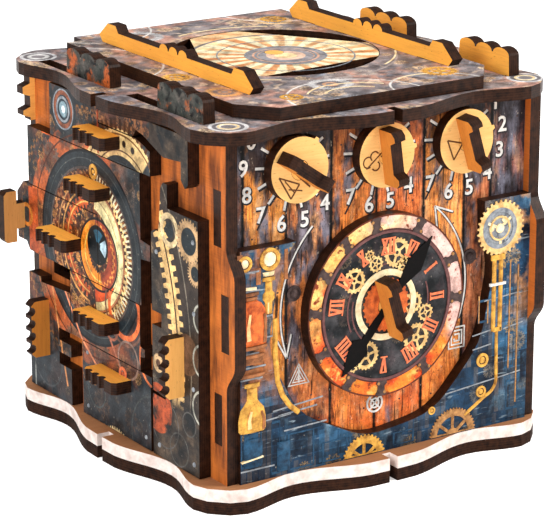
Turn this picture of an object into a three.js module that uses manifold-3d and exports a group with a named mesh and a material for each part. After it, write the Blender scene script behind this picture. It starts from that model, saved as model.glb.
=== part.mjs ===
// A cube-shaped wooden puzzle box, cut from plywood sheet: scalloped base and roof, a front
// with three turning knobs and a dial, a left face of interlocking sliders, and a lid that
// carries a turning rotor and two locking bars over a hidden compartment.
// Millimetres, +Z up, X along the front, +Y to the back, origin under the middle of the base.

import * as THREE from "three";
import { mergeVertices } from "three/addons/utils/BufferGeometryUtils.js";
import Module from "manifold-3d";

const wasm = await Module();
wasm.setup();

// ---- driving dimensions -------------------------------------------------------------------

const SHEET = 4; // thickness of the plywood
const GAP = 0.3; // clearance round moving pieces
const FIT = 0.1; // clearance of a tongue in its own slot

const RIM = 62; // half width of base and roof at the corners
const RIM_CUT = 5; // corner cut of base and roof
const RIM_CREST = 66.3; // rim at the swell beside the middle of each side
const RIM_TROUGH = 59.8;
const RIM_SHOULDER = 63.8;
const CREST_AT = 5.5; // where the crest, the trough and the shoulder lie along a side
const TROUGH_AT = 33;
const SHOULDER_AT = 52;
const RIM_NOTCH = 1.5; // half width of the nick in the middle of each side

const FLOOR_TOP = 2 * SHEET;
const WALL_TOP = 114;
const ROOF_TOP = WALL_TOP + SHEET;
const LID_TOP = ROOF_TOP + SHEET;
const INNER = 52; // distance from the centre to the inside of the walls
const MIDDLE = INNER + SHEET;
const OUTER = MIDDLE + SHEET;

const KNOB_X = [-31, 0.5, 30.4];
const KNOB_TURN = [145, 98, 107]; // degrees of each grip from +X
const KNOB_Z = 102.8;
const KNOB_R = 10.1;
const DIAL = { x: 1, z: 55.3, r: 29, turn: 107 };
const AXLE_R = 3;
const BORE_R = AXLE_R + 0.15;
const CAM_AT = -INNER + 6; // Y of the rear face of the cams behind the front panel
const AXLE_END = CAM_AT + 2;

const GRIP = { length: 19, reach: 6.6, chamfer: 1.3, scallop: { r: 1.5, pitch: 4.2 } };
const TAIL = 12; // width of a finger grip's tongue
const TONGUE = 2 * SHEET + GAP; // how far the tongue runs through panel and wall
const KEEPER = { thick: 3, high: 12 }; // plate that holds the tongue behind the wall
const CORE = [2, 4]; // centre of the rotor, the lid ring and the compartment
const ROTOR_R = 33.2;
const ROTOR_FLAT = 24.3;
const LID_RING_R = 40;
const ROOF_GRIP_TRAVEL = 20;
const BAR_TRAVEL = 6; // each way

// ---- finishes -----------------------------------------------------------------------------

const finish = (color, roughness = 0.6) => () =>
  new THREE.MeshStandardMaterial({ color, roughness, metalness: 0 });
const RAW_PLY = finish(0xe8a050);
const PALE_PLY = finish(0xf0cc80);
const BURNT = finish(0x2a1a14, 0.8);
const PALE_PAINT = finish(0xeddcd6);
const PLANKS = finish(0xc86a35);
const NAVY_PRINT = finish(0x223348);
const SLATE_PRINT = finish(0x454a4c);
const ROOF_PRINT = finish(0x8c8284);
const DIAL_PRINT = finish(0x302a2c);

// ---- outlines -----------------------------------------------------------------------------

function polygon(points) {
  return new THREE.Shape(points.map(([x, y]) => new THREE.Vector2(x, y)));
}

// Points along an arc, or along an ellipse where ry is given, both ends included.
function arc(x, y, r, from, to, steps, ry = r) {
  return Array.from({ length: steps + 1 }, (_, i) => {
    const a = from + ((to - from) * i) / steps;
    return [x + r * Math.cos(a), y + ry * Math.sin(a)];
  });
}

function rectangle(x0, x1, y0, y1) {
  return polygon([[x0, y0], [x1, y0], [x1, y1], [x0, y1]]);
}

function disc(x, y, r) {
  return polygon(arc(x, y, r, 0, 2 * Math.PI, r < 5 ? 20 : 48).slice(1));
}

function cut(shape, ...holes) {
  shape.holes.push(...holes);
  return shape;
}

// An eased step from a to b as t goes from 0 to 1.
function ease(a, b, t) {
  return a + ((b - a) * (1 - Math.cos(Math.PI * Math.min(Math.max(t, 0), 1)))) / 2;
}

// Distance from the centre to the rim of base and roof, at s along a side.
function rimAt(s) {
  const a = Math.abs(s);
  if (a < CREST_AT) return RIM_CREST;
  if (a < TROUGH_AT)
    return ease(RIM_CREST, RIM_TROUGH, (a - CREST_AT) / (TROUGH_AT - CREST_AT));
  if (a < SHOULDER_AT)
    return ease(RIM_TROUGH, RIM_SHOULDER, (a - TROUGH_AT) / (SHOULDER_AT - TROUGH_AT));
  return ease(RIM_SHOULDER, RIM, (a - SHOULDER_AT) / (RIM - RIM_CUT - SHOULDER_AT));
}

// The scalloped square of base and roof: one half side, mirrored, and turned four times.
function rimShape() {
  const half = [[0, RIM], [RIM_NOTCH, RIM], [RIM_NOTCH, RIM_CREST]];
  const stops = [[CREST_AT, TROUGH_AT, 9], [TROUGH_AT, SHOULDER_AT, 6], [SHOULDER_AT, RIM - RIM_CUT, 2]];
  for (const [from, to, steps] of stops)
    for (let i = 1; i <= steps; i++) {
      const s = from + ((to - from) * i) / steps;
      half.push([s, rimAt(s)]);
    }
  const side = [...half.slice(1).reverse().map(([s, r]) => [-s, r]), ...half.slice(1)];
  const points = [];
  for (let k = 0; k < 4; k++) {
    const c = Math.round(Math.cos((k * Math.PI) / 2));
    const n = Math.round(Math.sin((k * Math.PI) / 2));
    for (const [s, r] of side) points.push([c * s + n * r, n * s - c * r]);
  }
  return polygon(points);
}

// Front edge of a side wall: straight, with one long ornamental belly.
const BELLY = { straight: 58.7, deep: 63.2, low: 38, lowFull: 46.5, highFull: 73, high: 82 };
function bellyEdge(z) {
  const { straight, deep, low, lowFull, highFull, high } = BELLY;
  if (z < lowFull) return -ease(straight, deep, (z - low) / (lowFull - low));
  return -ease(deep, straight, (z - highFull) / (high - highFull));
}

function sideWallShape(back) {
  const points = [[back, FLOOR_TOP], [back, WALL_TOP], [-BELLY.straight, WALL_TOP]];
  const steps = 6;
  for (const [from, to] of [[BELLY.high, BELLY.highFull], [BELLY.lowFull, BELLY.low]])
    for (let i = 0; i <= steps; i++) {
      const z = from + ((to - from) * i) / steps;
      points.push([bellyEdge(z), z]);
    }
  points.push([-BELLY.straight, FLOOR_TOP]);
  return polygon(points.reverse());
}

// ---- solids -------------------------------------------------------------------------------

const X = new THREE.Vector3(1, 0, 0);
const Y = new THREE.Vector3(0, 1, 0);
const Z = new THREE.Vector3(0, 0, 1);
const turnTo = (a, b, c) =>
  new THREE.Quaternion().setFromRotationMatrix(new THREE.Matrix4().makeBasis(a, b, c));
const LYING = turnTo(X, Y, Z); // outline in X, Y and thickness up Z
const FACING = turnTo(X, Z, Y.clone().negate()); // outline in X, Z and thickness towards the front
const SIDEWAYS = turnTo(Y, Z, X); // outline in Y, Z and thickness towards +X

const box = new THREE.Group();

function add(name, geometry, look, parent = box) {
  const mesh = new THREE.Mesh(geometry, look());
  mesh.name = name;
  parent.add(mesh);
  return mesh;
}

function extruded(shape, thickness = SHEET) {
  return new THREE.ExtrudeGeometry(shape, { depth: thickness, bevelEnabled: false });
}

// A flat piece of sheet. at is where its extrusion starts along its own thickness direction.
function sheet(name, shape, look, stance, at, thickness = SHEET) {
  const mesh = add(name, extruded(shape, thickness), look);
  mesh.quaternion.copy(stance);
  mesh.position.set(0, 0, at).applyQuaternion(stance);
  return mesh;
}

function toSolid(geometry) {
  const g = geometry.clone();
  g.deleteAttribute("normal");
  g.deleteAttribute("uv");
  const m = mergeVertices(g, 1e-4);
  return new wasm.Manifold(
    new wasm.Mesh({
      numProp: 3,
      vertProperties: m.attributes.position.array,
      triVerts: new Uint32Array(m.index.array),
    }),
  );
}

function toGeometry(solid) {
  const { vertProperties, triVerts } = solid.getMesh();
  const g = new THREE.BufferGeometry();
  g.setAttribute("position", new THREE.BufferAttribute(new Float32Array(vertProperties), 3));
  g.setIndex(new THREE.BufferAttribute(new Uint32Array(triVerts), 1));
  g.computeVertexNormals();
  return g;
}

const joined = (first, ...others) =>
  toGeometry(others.reduce((whole, next) => whole.add(toSolid(next)), toSolid(first)));
const carved = (first, ...others) =>
  toGeometry(others.reduce((whole, next) => whole.subtract(toSolid(next)), toSolid(first)));

function block(x0, x1, y0, y1, z0, z1) {
  return new THREE.BoxGeometry(x1 - x0, y1 - y0, z1 - z0).translate(
    (x0 + x1) / 2,
    (y0 + y1) / 2,
    (z0 + z1) / 2,
  );
}

// ---- base, walls and roof -----------------------------------------------------------------

const ROOF_GRIPS = [
  { name: "roof_grip_left_near", side: -1, y0: -50, y1: -24 },
  { name: "roof_grip_left_far", side: -1, y0: 4, y1: 31 },
  { name: "roof_grip_right_near", side: 1, y0: -50, y1: -24 },
  { name: "roof_grip_right_far", side: 1, y0: 4, y1: 31 },
];
const ROOF_GRIP_X = 54; // inner face of each roof grip
const ROOF_GRIP_HIGH = 8.4;
const ROOF_TONGUE_INSET = 2;

function makeShell() {
  sheet("base_lower_plate", rimShape(), BURNT, LYING, 0);
  sheet("base_upper_plate", rimShape(), PALE_PAINT, LYING, SHEET);
  const slots = ROOF_GRIPS.map(({ side, y0, y1 }) => {
    const near = side * ROOF_GRIP_X;
    const far = side * (ROOF_GRIP_X + SHEET);
    return rectangle(
      Math.min(near, far) - GAP / 2,
      Math.max(near, far) + GAP / 2,
      y0 + ROOF_TONGUE_INSET - GAP,
      y1 - ROOF_TONGUE_INSET + ROOF_GRIP_TRAVEL + GAP,
    );
  });
  const openings = [disc(...CORE, LID_RING_R + 0.6), ...slots];
  const cutters = openings.map((shape) => extruded(shape, 3 * SHEET).translate(0, 0, -SHEET));
  add("roof_plate", carved(extruded(rimShape()), ...cutters), ROOF_PRINT).position.z = WALL_TOP;
  sheet("right_wall", rectangle(-INNER, MIDDLE, FLOOR_TOP, WALL_TOP), RAW_PLY, SIDEWAYS, INNER);
  sheet("right_outer_panel", sideWallShape(MIDDLE), SLATE_PRINT, SIDEWAYS, MIDDLE);
  sheet("back_wall", rectangle(-INNER, INNER, FLOOR_TOP, WALL_TOP), RAW_PLY, FACING, -MIDDLE);
}

// The left wall, pierced by the tabs of the front pieces and by the sliders' tongues.
const PANEL_TABS = [[20, 36], [82, 99]];
const OVERLAY_TAB = [50, 67.7];
const WINDOW = { y0: 34, y1: 46, z0: 48, z1: 53.6 }; // dark window over the rear vertical slider

function makeLeftWall(sliders) {
  const holes = PANEL_TABS.map(([z0, z1]) => rectangle(-MIDDLE - FIT, -INNER + FIT, z0 - FIT, z1 + FIT));
  holes.push(rectangle(-OUTER - FIT, -MIDDLE + FIT, OVERLAY_TAB[0] - FIT, OVERLAY_TAB[1] + FIT));
  holes.push(rectangle(WINDOW.y0, WINDOW.y1, WINDOW.z0, WINDOW.z1));
  for (const s of sliders) holes.push(tonguePath(s));
  sheet("left_wall", cut(sideWallShape(MIDDLE), ...holes), RAW_PLY, SIDEWAYS, -MIDDLE);
}

function makeFront() {
  const tabs = PANEL_TABS.flatMap(([z0, z1]) => [
    [-INNER, z0], [-MIDDLE, z0], [-MIDDLE, z1], [-INNER, z1],
  ]);
  const planks = polygon([
    [MIDDLE, WALL_TOP], [MIDDLE, FLOOR_TOP], [-INNER, FLOOR_TOP], ...tabs, [-INNER, WALL_TOP],
  ]);
  const bores = KNOB_X.map((x) => disc(x, KNOB_Z, BORE_R));
  bores.push(disc(DIAL.x, DIAL.z, BORE_R));
  sheet("front_panel", cut(planks, ...bores), PLANKS, FACING, INNER);
  sheet("front_overlay", overlayShape(), NAVY_PRINT, FACING, MIDDLE);
}

// The overlay frames the dial with a wavy round bay that is open at the top.
const BAY = { x: 0, z: 56, r: 41.2, wave: 0.9, leftTop: 81, rightTop: 82.5 };
function overlayShape() {
  const points = [[-INNER, FLOOR_TOP], [MIDDLE, FLOOR_TOP], [MIDDLE, BAY.rightTop], [38, BAY.rightTop]];
  const from = 22;
  const to = -218;
  const steps = 48;
  for (let i = 0; i <= steps; i++) {
    const a = THREE.MathUtils.degToRad(from + ((to - from) * i) / steps);
    const r = BAY.r + BAY.wave * Math.sin(7 * a) * Math.cos(3 * a);
    points.push([BAY.x + r * Math.cos(a), BAY.z + r * Math.sin(a)]);
  }
  points.push([-35, BAY.leftTop], [-INNER, BAY.leftTop]);
  points.push([-INNER, OVERLAY_TAB[1]], [-MIDDLE, OVERLAY_TAB[1]]);
  points.push([-MIDDLE, OVERLAY_TAB[0]], [-INNER, OVERLAY_TAB[0]]);
  return polygon(points);
}

// The sheet over the back wall ends in two teeth that stand out beside the top left slider.
function makeBack() {
  const flush = -MIDDLE + GAP;
  const teeth = [[98.2, 101.6], [105.2, 109.4]];
  const step = { x: -57.8, z: 97.2 };
  const tip = -60.4;
  const points = [[MIDDLE, FLOOR_TOP], [MIDDLE, WALL_TOP], [step.x, WALL_TOP]];
  for (const [z0, z1] of teeth.reverse())
    points.push([step.x, z1], [tip, z1 - 0.9], [tip, z0 + 0.9], [step.x, z0]);
  points.push([step.x, step.z], [flush, step.z], [flush, FLOOR_TOP]);
  sheet("back_outer_panel", polygon(points), SLATE_PRINT, FACING, -OUTER);
}

// ---- compartment --------------------------------------------------------------------------

const ROOM = { half: 34, floor: 60 };

function makeCompartment() {
  const [x, y] = CORE;
  const { half, floor } = ROOM;
  const wide = half + SHEET;
  const across = () => rectangle(x - wide, x + wide, FLOOR_TOP, WALL_TOP);
  const along = () => rectangle(y - half, y + half, FLOOR_TOP, WALL_TOP);
  sheet("compartment_front", across(), RAW_PLY, FACING, half - y);
  sheet("compartment_back", across(), RAW_PLY, FACING, -y - wide);
  sheet("compartment_left", along(), RAW_PLY, SIDEWAYS, x - wide);
  sheet("compartment_right", along(), RAW_PLY, SIDEWAYS, x + half);
  sheet("compartment_floor", rectangle(x - half, x + half, y - half, y + half), RAW_PLY, LYING, floor);
}

// ---- knobs and dial -----------------------------------------------------------------------

// A plate on edge whose outer edge is hollowed in the middle: x along the grip, y outwards.
function handleShape(length, reach) {
  const h = length / 2;
  const waist = { half: 0.27 * length, depth: 0.32 * reach, slope: 1.2 };
  return polygon([
    [-h, 0], [h, 0], [h, reach - 1.4], [h - 1.4, reach],
    [waist.half + waist.slope, reach], [waist.half, reach - waist.depth],
    [-waist.half, reach - waist.depth], [-waist.half - waist.slope, reach],
    [-h + 1.4, reach], [-h, reach - 1.4],
  ]);
}

// Turning pieces stand in a group on their axis, turned so that local x is the grip's length.
function makeTurner(name, x, z, turn, grip, face, look, cam) {
  const axis = new THREE.Group();
  axis.position.set(x, 0, z);
  axis.rotation.y = -THREE.MathUtils.degToRad(turn);
  box.add(axis);
  const put = (suffix, shape, look, y) => {
    const mesh = add(name + suffix, extruded(shape), look, axis);
    mesh.quaternion.copy(FACING);
    mesh.position.y = y;
    return mesh;
  };
  put("_disc", cut(face, disc(0, 0, BORE_R)), look, -MIDDLE - GAP / 3);
  put("_cam", cut(cam, disc(0, 0, BORE_R)), RAW_PLY, CAM_AT);
  const handle = add(name + "_grip", extruded(handleShape(grip.length, grip.reach)), RAW_PLY, axis);
  handle.quaternion.copy(turnTo(X, Y.clone().negate(), Z.clone().negate()));
  handle.position.set(0, -OUTER - GAP / 3, SHEET / 2);
  const axle = new THREE.CylinderGeometry(AXLE_R, AXLE_R, OUTER + AXLE_END, 24);
  add(name + "_axle", axle, RAW_PLY, axis).position.y = (AXLE_END - OUTER) / 2;
}

function knobFace() {
  const nub = { at: -Math.PI / 2, half: 0.09, tip: 0.05, high: 0.9 }; // a quarter turn from the grip
  return polygon([
    ...arc(0, 0, KNOB_R, nub.at + nub.half, nub.at + 2 * Math.PI - nub.half, 44),
    ...arc(0, 0, KNOB_R + nub.high, nub.at - nub.tip, nub.at + nub.tip, 1),
  ]);
}

// A locking cam is a disc with one square notch.
function camShape(r, notch) {
  const a = Math.asin(notch / r);
  return polygon([
    ...arc(0, 0, r, Math.PI / 2 + a, Math.PI / 2 - a + 2 * Math.PI, 32),
    [notch, r - 1.4 * notch],
    [-notch, r - 1.4 * notch],
  ]);
}

function makeTurners() {
  KNOB_X.forEach((x, i) => {
    const grip = { length: 17.5, reach: 7.6 };
    const cam = camShape(10, 2.5);
    makeTurner("knob_" + (i + 1), x, KNOB_Z, KNOB_TURN[i], grip, knobFace(), PALE_PLY, cam);
  });
  const grip = { length: 19.5, reach: 8.2 };
  const face = disc(0, 0, DIAL.r);
  makeTurner("dial", DIAL.x, DIAL.z, DIAL.turn, grip, face, DIAL_PRINT, camShape(18, 4));
}

// ---- left face ----------------------------------------------------------------------------

const CORNER_Y = 54.2; // rear end of the sliders that reach the corner

// The panels, as outlines in Y and Z, with the grip of each: y or z is where the grip's tongue
// starts, and run is how far the panel travels.
const SLIDERS = [
  {
    name: "slider_a",
    upright: false,
    grip: { from: -5, level: 101.3, tongue: 0 },
    run: 14.5,
    outline: () => [
      [39, 96.6], [39, 113.4], [8.3, 113.4], [8.3, 106.6], [-14.7, 106.6],
      [-18.9, 105.6], [-22.7, 104.2], [-22.7, 96.6],
    ],
  },
  {
    name: "slider_b",
    upright: false,
    grip: { from: 1.6, level: 83.6, tongue: 6 },
    run: 5,
    outline: () => [
      [CORNER_Y, 77], [CORNER_Y, 96.3], [-16.5, 96.3], [-16.5, 75.4], [-22.2, 74.8],
      [-22.2, 69.8], [-16.5, 69.2], [-16.5, 54.4], [9.6, 54.4], [9.6, 77],
    ],
  },
  {
    name: "slider_c",
    upright: false,
    grip: { from: 20.4, level: 62.6, tongue: 22 },
    run: 15,
    outline: () => [
      [9.9, 54.4], [54.4, 54.4], [56.5, 57], [62.2, 57], [62.2, 63], [60.8, 65.5], [62.2, 68],
      [62.2, 72.6], [58, 76.7], [9.9, 76.7],
    ],
  },
  {
    name: "slider_d",
    upright: false,
    grip: { from: -2.7, level: 41.4, tongue: 5 },
    run: -4,
    outline: () => [
      [-15.5, 32.9], [27.9, 32.9], [27.9, 54.1], [-15.5, 54.1], [-15.5, 40.8], [-18.2, 40.4],
      [-18.2, 37.8], [-15.5, 37.4],
    ],
  },
  {
    name: "slider_e",
    upright: false,
    grip: { from: -9.7, level: 24.1, tongue: -2 },
    run: 7,
    outline: () => [[-21.5, 8.3], [20.9, 8.3], [20.9, 32.6], [-22.3, 32.6], [-22.3, 29.6], [-21.5, 29]],
  },
  {
    name: "slider_f",
    upright: true,
    grip: { from: 21.5, level: 42.4, tongue: 25 },
    run: 7,
    outline: () => [
      [28.3, 8.3], [55.5, 8.3], [55.5, 46.9], [47.4, 46.9], [47.4, 45.2], [28.3, 46.4],
      [28.3, 32.7], [36.2, 32.7], [36.2, 28.6], [28.3, 28.6], [28.3, 24.5], [36.2, 24.5],
      [36.2, 20.4], [28.3, 20.4],
    ],
  },
  {
    name: "slider_g",
    upright: true,
    grip: { from: 32.2, level: -41.3, tongue: 36 },
    run: 7,
    outline: () => [
      [-49.6, 8.3], [-22.9, 8.3], [-22.9, 27.9], [-30.4, 27.9], [-30.4, 29], [-22.9, 29],
      [-22.9, 50.3], [-28.4, 50.3], [-28.4, 54.8], [-22.9, 54.8], [-22.9, 79.6], [-24.6, 80.6],
      [-27, 80.6], [-27.6, 84], [-28.6, 94.6], [-30, 96.4], [-32.4, 96.4], [-32.4, 89],
      [-49.6, 89],
    ],
  },
];

// The slot that a slider's tongue needs in the wall, with its travel. Slider c is carried by
// slider b, so its own run already counts both.
function tonguePath({ upright, grip, run }) {
  const t0 = grip.tongue + Math.min(run, 0) - GAP;
  const t1 = grip.tongue + TAIL + Math.max(run, 0) + GAP;
  const g = GAP / 2;
  return upright
    ? rectangle(grip.level - g, grip.level + SHEET + g, t0, t1)
    : rectangle(t0, t1, grip.level - g, grip.level + SHEET + g);
}

// A finger grip lies on edge through its panel: a scalloped handle outside, a tongue through
// panel and wall, and a keeper plate behind. x is along the grip and y is outwards.
function gripShape(tongueFrom, scallops, firstScallop) {
  const { reach, length, chamfer, scallop } = GRIP;
  const bites = Array.from({ length: scallops }, (_, i) =>
    arc(firstScallop + i * scallop.pitch, reach, scallop.r, Math.PI, 2 * Math.PI, 6),
  );
  return polygon([
    [0, 0], [0, reach - chamfer], [chamfer, reach], ...bites.flat(),
    [length - chamfer, reach], [length, reach - chamfer], [length, 0],
    [tongueFrom + TAIL, 0], [tongueFrom + TAIL, -TONGUE], [tongueFrom, -TONGUE], [tongueFrom, 0],
  ].reverse());
}

function makeSlider({ name, upright, grip, outline }) {
  const g = FIT;
  const opening = upright
    ? rectangle(grip.level - g, grip.level + SHEET + g, grip.tongue - g, grip.tongue + TAIL + g)
    : rectangle(grip.tongue - g, grip.tongue + TAIL + g, grip.level - g, grip.level + SHEET + g);
  sheet(name, cut(polygon(outline()), opening), SLATE_PRINT, SIDEWAYS, -OUTER - GAP / 3);

  const tongue = grip.tongue - grip.from;
  const shape = upright ? gripShape(tongue, 4, 3.2) : gripShape(tongue, 3, 7.2);
  const keeper = block(
    tongue, tongue + TAIL,
    -TONGUE - KEEPER.thick, -TONGUE,
    (SHEET - KEEPER.high) / 2, (SHEET + KEEPER.high) / 2,
  );
  const handle = add(name + "_grip", joined(extruded(shape), keeper), RAW_PLY);
  const out = X.clone().negate();
  if (upright) {
    handle.quaternion.copy(turnTo(Z, out, Y.clone().negate()));
    handle.position.set(-OUTER - GAP / 3, grip.level + SHEET, grip.from);
  } else {
    handle.quaternion.copy(turnTo(Y, out, Z));
    handle.position.set(-OUTER - GAP / 3, grip.from, grip.level);
  }
}

// Slider c also has an upright pull at its free end.
function makePull() {
  const from = { y: 61.4, z: 56.8 };
  const tall = 17.2;
  const shape = polygon([
    [0, 3], [4.4, 3], [4.4, 0], [tall - 4.4, 0], [tall - 4.4, 3], [tall, 3],
    [tall, 6.6], [tall - 1.2, 7.6], [1.2, 7.6], [0, 6.6],
  ]);
  const pull = add("slider_c_pull", extruded(shape), RAW_PLY);
  pull.quaternion.copy(turnTo(Z, X.clone().negate(), Y.clone().negate()));
  pull.position.set(-OUTER - GAP / 3, from.y, from.z);
}

// A fixed strip under the roof closes the top of the left face.
function makeTopTrim() {
  const outline = polygon([
    [7.9, 113.4], [7.9, 107], [-12.9, 107], [-14.7, 109.4], [-19, 108.6], [-23.4, 106.9],
    [-30.3, 104.3], [-35, 104.6], [-40.4, 105.1], [-40.4, 99.6], [-42.6, 97.4], [-44.4, 98.8],
    [-44.4, 113.4],
  ]);
  sheet("left_top_trim", outline, SLATE_PRINT, SIDEWAYS, -OUTER - GAP / 3);
}

// ---- roof grips, lid, rotor and bars ------------------------------------------------------

function makeRoofGrip({ name, side, y0, y1 }) {
  const top = ROOF_TOP + ROOF_GRIP_HIGH;
  const foot = ROOF_TOP + FIT;
  const bumps = 3;
  const half = (y1 - y0) / (2 * bumps);
  const rise = 2;
  const crown = [];
  for (let i = bumps - 1; i >= 0; i--)
    crown.push(...arc(y0 + (2 * i + 1) * half, top - rise, half - 0.3, 0, Math.PI, 8, rise));
  const tongue = [y0 + ROOF_TONGUE_INSET, y1 - ROOF_TONGUE_INSET];
  const shape = polygon([
    [tongue[0], WALL_TOP + GAP], [tongue[1], WALL_TOP + GAP], [tongue[1], foot], [y1, foot],
    ...crown, [y0, foot], [tongue[0], foot],
  ]);
  const left = side < 0;
  const at = left ? -ROOF_GRIP_X - SHEET : ROOF_GRIP_X;
  sheet(name, shape, left ? SLATE_PRINT : RAW_PLY, SIDEWAYS, at);
}

const LID = { x0: -46, x1: 46.5, y0: -58.5, y1: 58.2, cutX: 9, cutY: 11.5, step: 6 };
const BARS = [
  { name: "lid_bar_left", x: -36, middle: 3 },
  { name: "lid_bar_right", x: 36, middle: 1 },
];
const BAR_TABS = [[-27, -15], [18, 30]]; // from the middle of the bar

function lidShape() {
  const { x0, x1, y0, y1, cutX, cutY, step } = LID;
  return polygon([
    [x0, y0 + cutY], [x0 + cutX, y0], [x1 - cutX, y0], [x1, y0 + cutY],
    [x1, y1 - step], [x1 - step, y1 - step], [x1 - step, y1],
    [x0 + step, y1], [x0 + step, y1 - step], [x0, y1 - step],
  ]);
}

function makeLid() {
  const slots = BARS.flatMap(({ x, middle }) =>
    BAR_TABS.map(([t0, t1]) =>
      rectangle(
        x - GAP / 2, x + SHEET + GAP / 2,
        middle + t0 - BAR_TRAVEL - GAP, middle + t1 + BAR_TRAVEL + GAP,
      ),
    ),
  );
  const bay = disc(...CORE, ROTOR_R + GAP);
  sheet("lid_plate", cut(lidShape(), bay, ...slots), ROOF_PRINT, LYING, ROOF_TOP + FIT);
}

// The ring under the lid drops into the roof's mouth and carries the rotor on three spokes.
function makeLidRing() {
  const ring = cut(disc(...CORE, LID_RING_R), ...spokeWindows());
  ring.holes.push(disc(...CORE, BORE_R));
  sheet("lid_ring", ring, BURNT, LYING, WALL_TOP + FIT);
}

const FLAT_AT = [-85.5, 34.5, 154.5]; // directions of the rotor's flats

function spokeWindows() {
  const half = THREE.MathUtils.degToRad(46);
  return FLAT_AT.map((deg) => {
    const a = THREE.MathUtils.degToRad(deg);
    return polygon([
      ...arc(...CORE, 31, a - half, a + half, 10),
      ...arc(...CORE, 10, a + half, a - half, 6),
    ]);
  });
}

function makeRotor() {
  const half = Math.acos(ROTOR_FLAT / ROTOR_R);
  const shape = polygon(
    FLAT_AT.flatMap((deg) => {
      const from = THREE.MathUtils.degToRad(deg) + half;
      const to = THREE.MathUtils.degToRad(deg + 120) - half;
      return arc(...CORE, ROTOR_R, from, to, 8);
    }),
  );
  sheet("rotor", cut(shape, disc(...CORE, BORE_R)), ROOF_PRINT, LYING, ROOF_TOP + GAP, SHEET - GAP);
  const high = LID_TOP - WALL_TOP - GAP;
  const pin = new THREE.CylinderGeometry(AXLE_R, AXLE_R, high, 24).rotateX(Math.PI / 2);
  add("rotor_pin", pin, RAW_PLY).position.set(...CORE, WALL_TOP + GAP + high / 2);
}

function makeBar({ name, x, middle }) {
  const foot = LID_TOP + 2 * FIT;
  const body = foot + 4.4;
  const end = foot + 6.6;
  const half = 45.5;
  const tabs = BAR_TABS.flatMap(([t0, t1]) => [
    [t0, foot], [t0, ROOF_TOP + GAP], [t1, ROOF_TOP + GAP], [t1, foot],
  ]);
  const raised = [[0, foot + 2.2], [5.4, end], [10.4, end], [12, body]]; // from each end inwards
  const bumps = [5.6, 0, -5.6].flatMap((y) => arc(y, body, 2.5, 0, Math.PI, 8, 1.9));
  const points = [
    [-half + 2, foot], ...tabs, [half - 2, foot],
    ...raised.map(([d, z]) => [half - d, z]), ...bumps,
    ...raised.reverse().map(([d, z]) => [d - half, z]),
  ];
  sheet(name, polygon(points.map(([y, z]) => [middle + y, z])), RAW_PLY, SIDEWAYS, x);
}

// ---- the whole box ------------------------------------------------------------------------

makeShell();
makeLeftWall(SLIDERS);
makeFront();
makeBack();
makeCompartment();
makeTurners();
SLIDERS.forEach(makeSlider);
makePull();
makeTopTrim();
ROOF_GRIPS.forEach(makeRoofGrip);
makeLid();
makeLidRing();
makeRotor();
BARS.forEach(makeBar);

export default box;
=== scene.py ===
"""The looks of a cube-shaped wooden puzzle box: plywood with burnt edges, printed panels, raised print.

Lengths are in millimetres in the box's own frame until MM turns them into metres: +Z up, X along the front,
+Y to the back. The three printed sides are drawn flat, in the two coordinates that each one shows.
"""

import math

import bmesh
import bpy
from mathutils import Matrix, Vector, geometry


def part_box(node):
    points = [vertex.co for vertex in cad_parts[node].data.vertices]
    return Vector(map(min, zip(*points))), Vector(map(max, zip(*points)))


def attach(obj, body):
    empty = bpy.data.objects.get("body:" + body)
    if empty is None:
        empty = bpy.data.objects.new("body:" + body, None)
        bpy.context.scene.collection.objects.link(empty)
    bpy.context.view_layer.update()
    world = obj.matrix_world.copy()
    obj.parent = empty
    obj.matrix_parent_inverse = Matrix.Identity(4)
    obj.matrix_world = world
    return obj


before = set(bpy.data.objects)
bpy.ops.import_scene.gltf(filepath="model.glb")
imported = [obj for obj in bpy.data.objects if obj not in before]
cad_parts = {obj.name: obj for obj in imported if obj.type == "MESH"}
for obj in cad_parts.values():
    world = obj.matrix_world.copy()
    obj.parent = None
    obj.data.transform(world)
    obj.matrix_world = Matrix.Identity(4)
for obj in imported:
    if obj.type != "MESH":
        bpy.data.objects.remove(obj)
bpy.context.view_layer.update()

MM = 0.001

# ---- camera, light and floor ---------------------------------------------------------------

EYE = Vector((-470.2, -713.7, 315.9)) * MM
AZIMUTH = math.radians(-33.3)
ELEVATION = math.radians(17.0)
LENS = 183.6


def make_camera():
    data = bpy.data.cameras.new("camera")
    data.lens = LENS
    data.sensor_width = 36
    data.clip_start = 0.05
    data.clip_end = 50
    camera = bpy.data.objects.new("camera", data)
    bpy.context.scene.collection.objects.link(camera)
    back = Vector((
        math.sin(AZIMUTH) * math.cos(ELEVATION),
        -math.cos(AZIMUTH) * math.cos(ELEVATION),
        math.sin(ELEVATION),
    ))
    camera.location = EYE
    camera.rotation_mode = "QUATERNION"
    camera.rotation_quaternion = (-back).to_track_quat("-Z", "Y")
    bpy.context.scene.camera = camera


def make_light(name, place, size, power, colour=(1, 1, 1)):
    data = bpy.data.lights.new(name, "AREA")
    data.size = size
    data.energy = power
    data.color = colour
    light = bpy.data.objects.new(name, data)
    bpy.context.scene.collection.objects.link(light)
    light.location = place
    aim = Vector((0, 0, 0.06)) - Vector(place)
    light.rotation_euler = aim.to_track_quat("-Z", "Y").to_euler()


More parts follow.
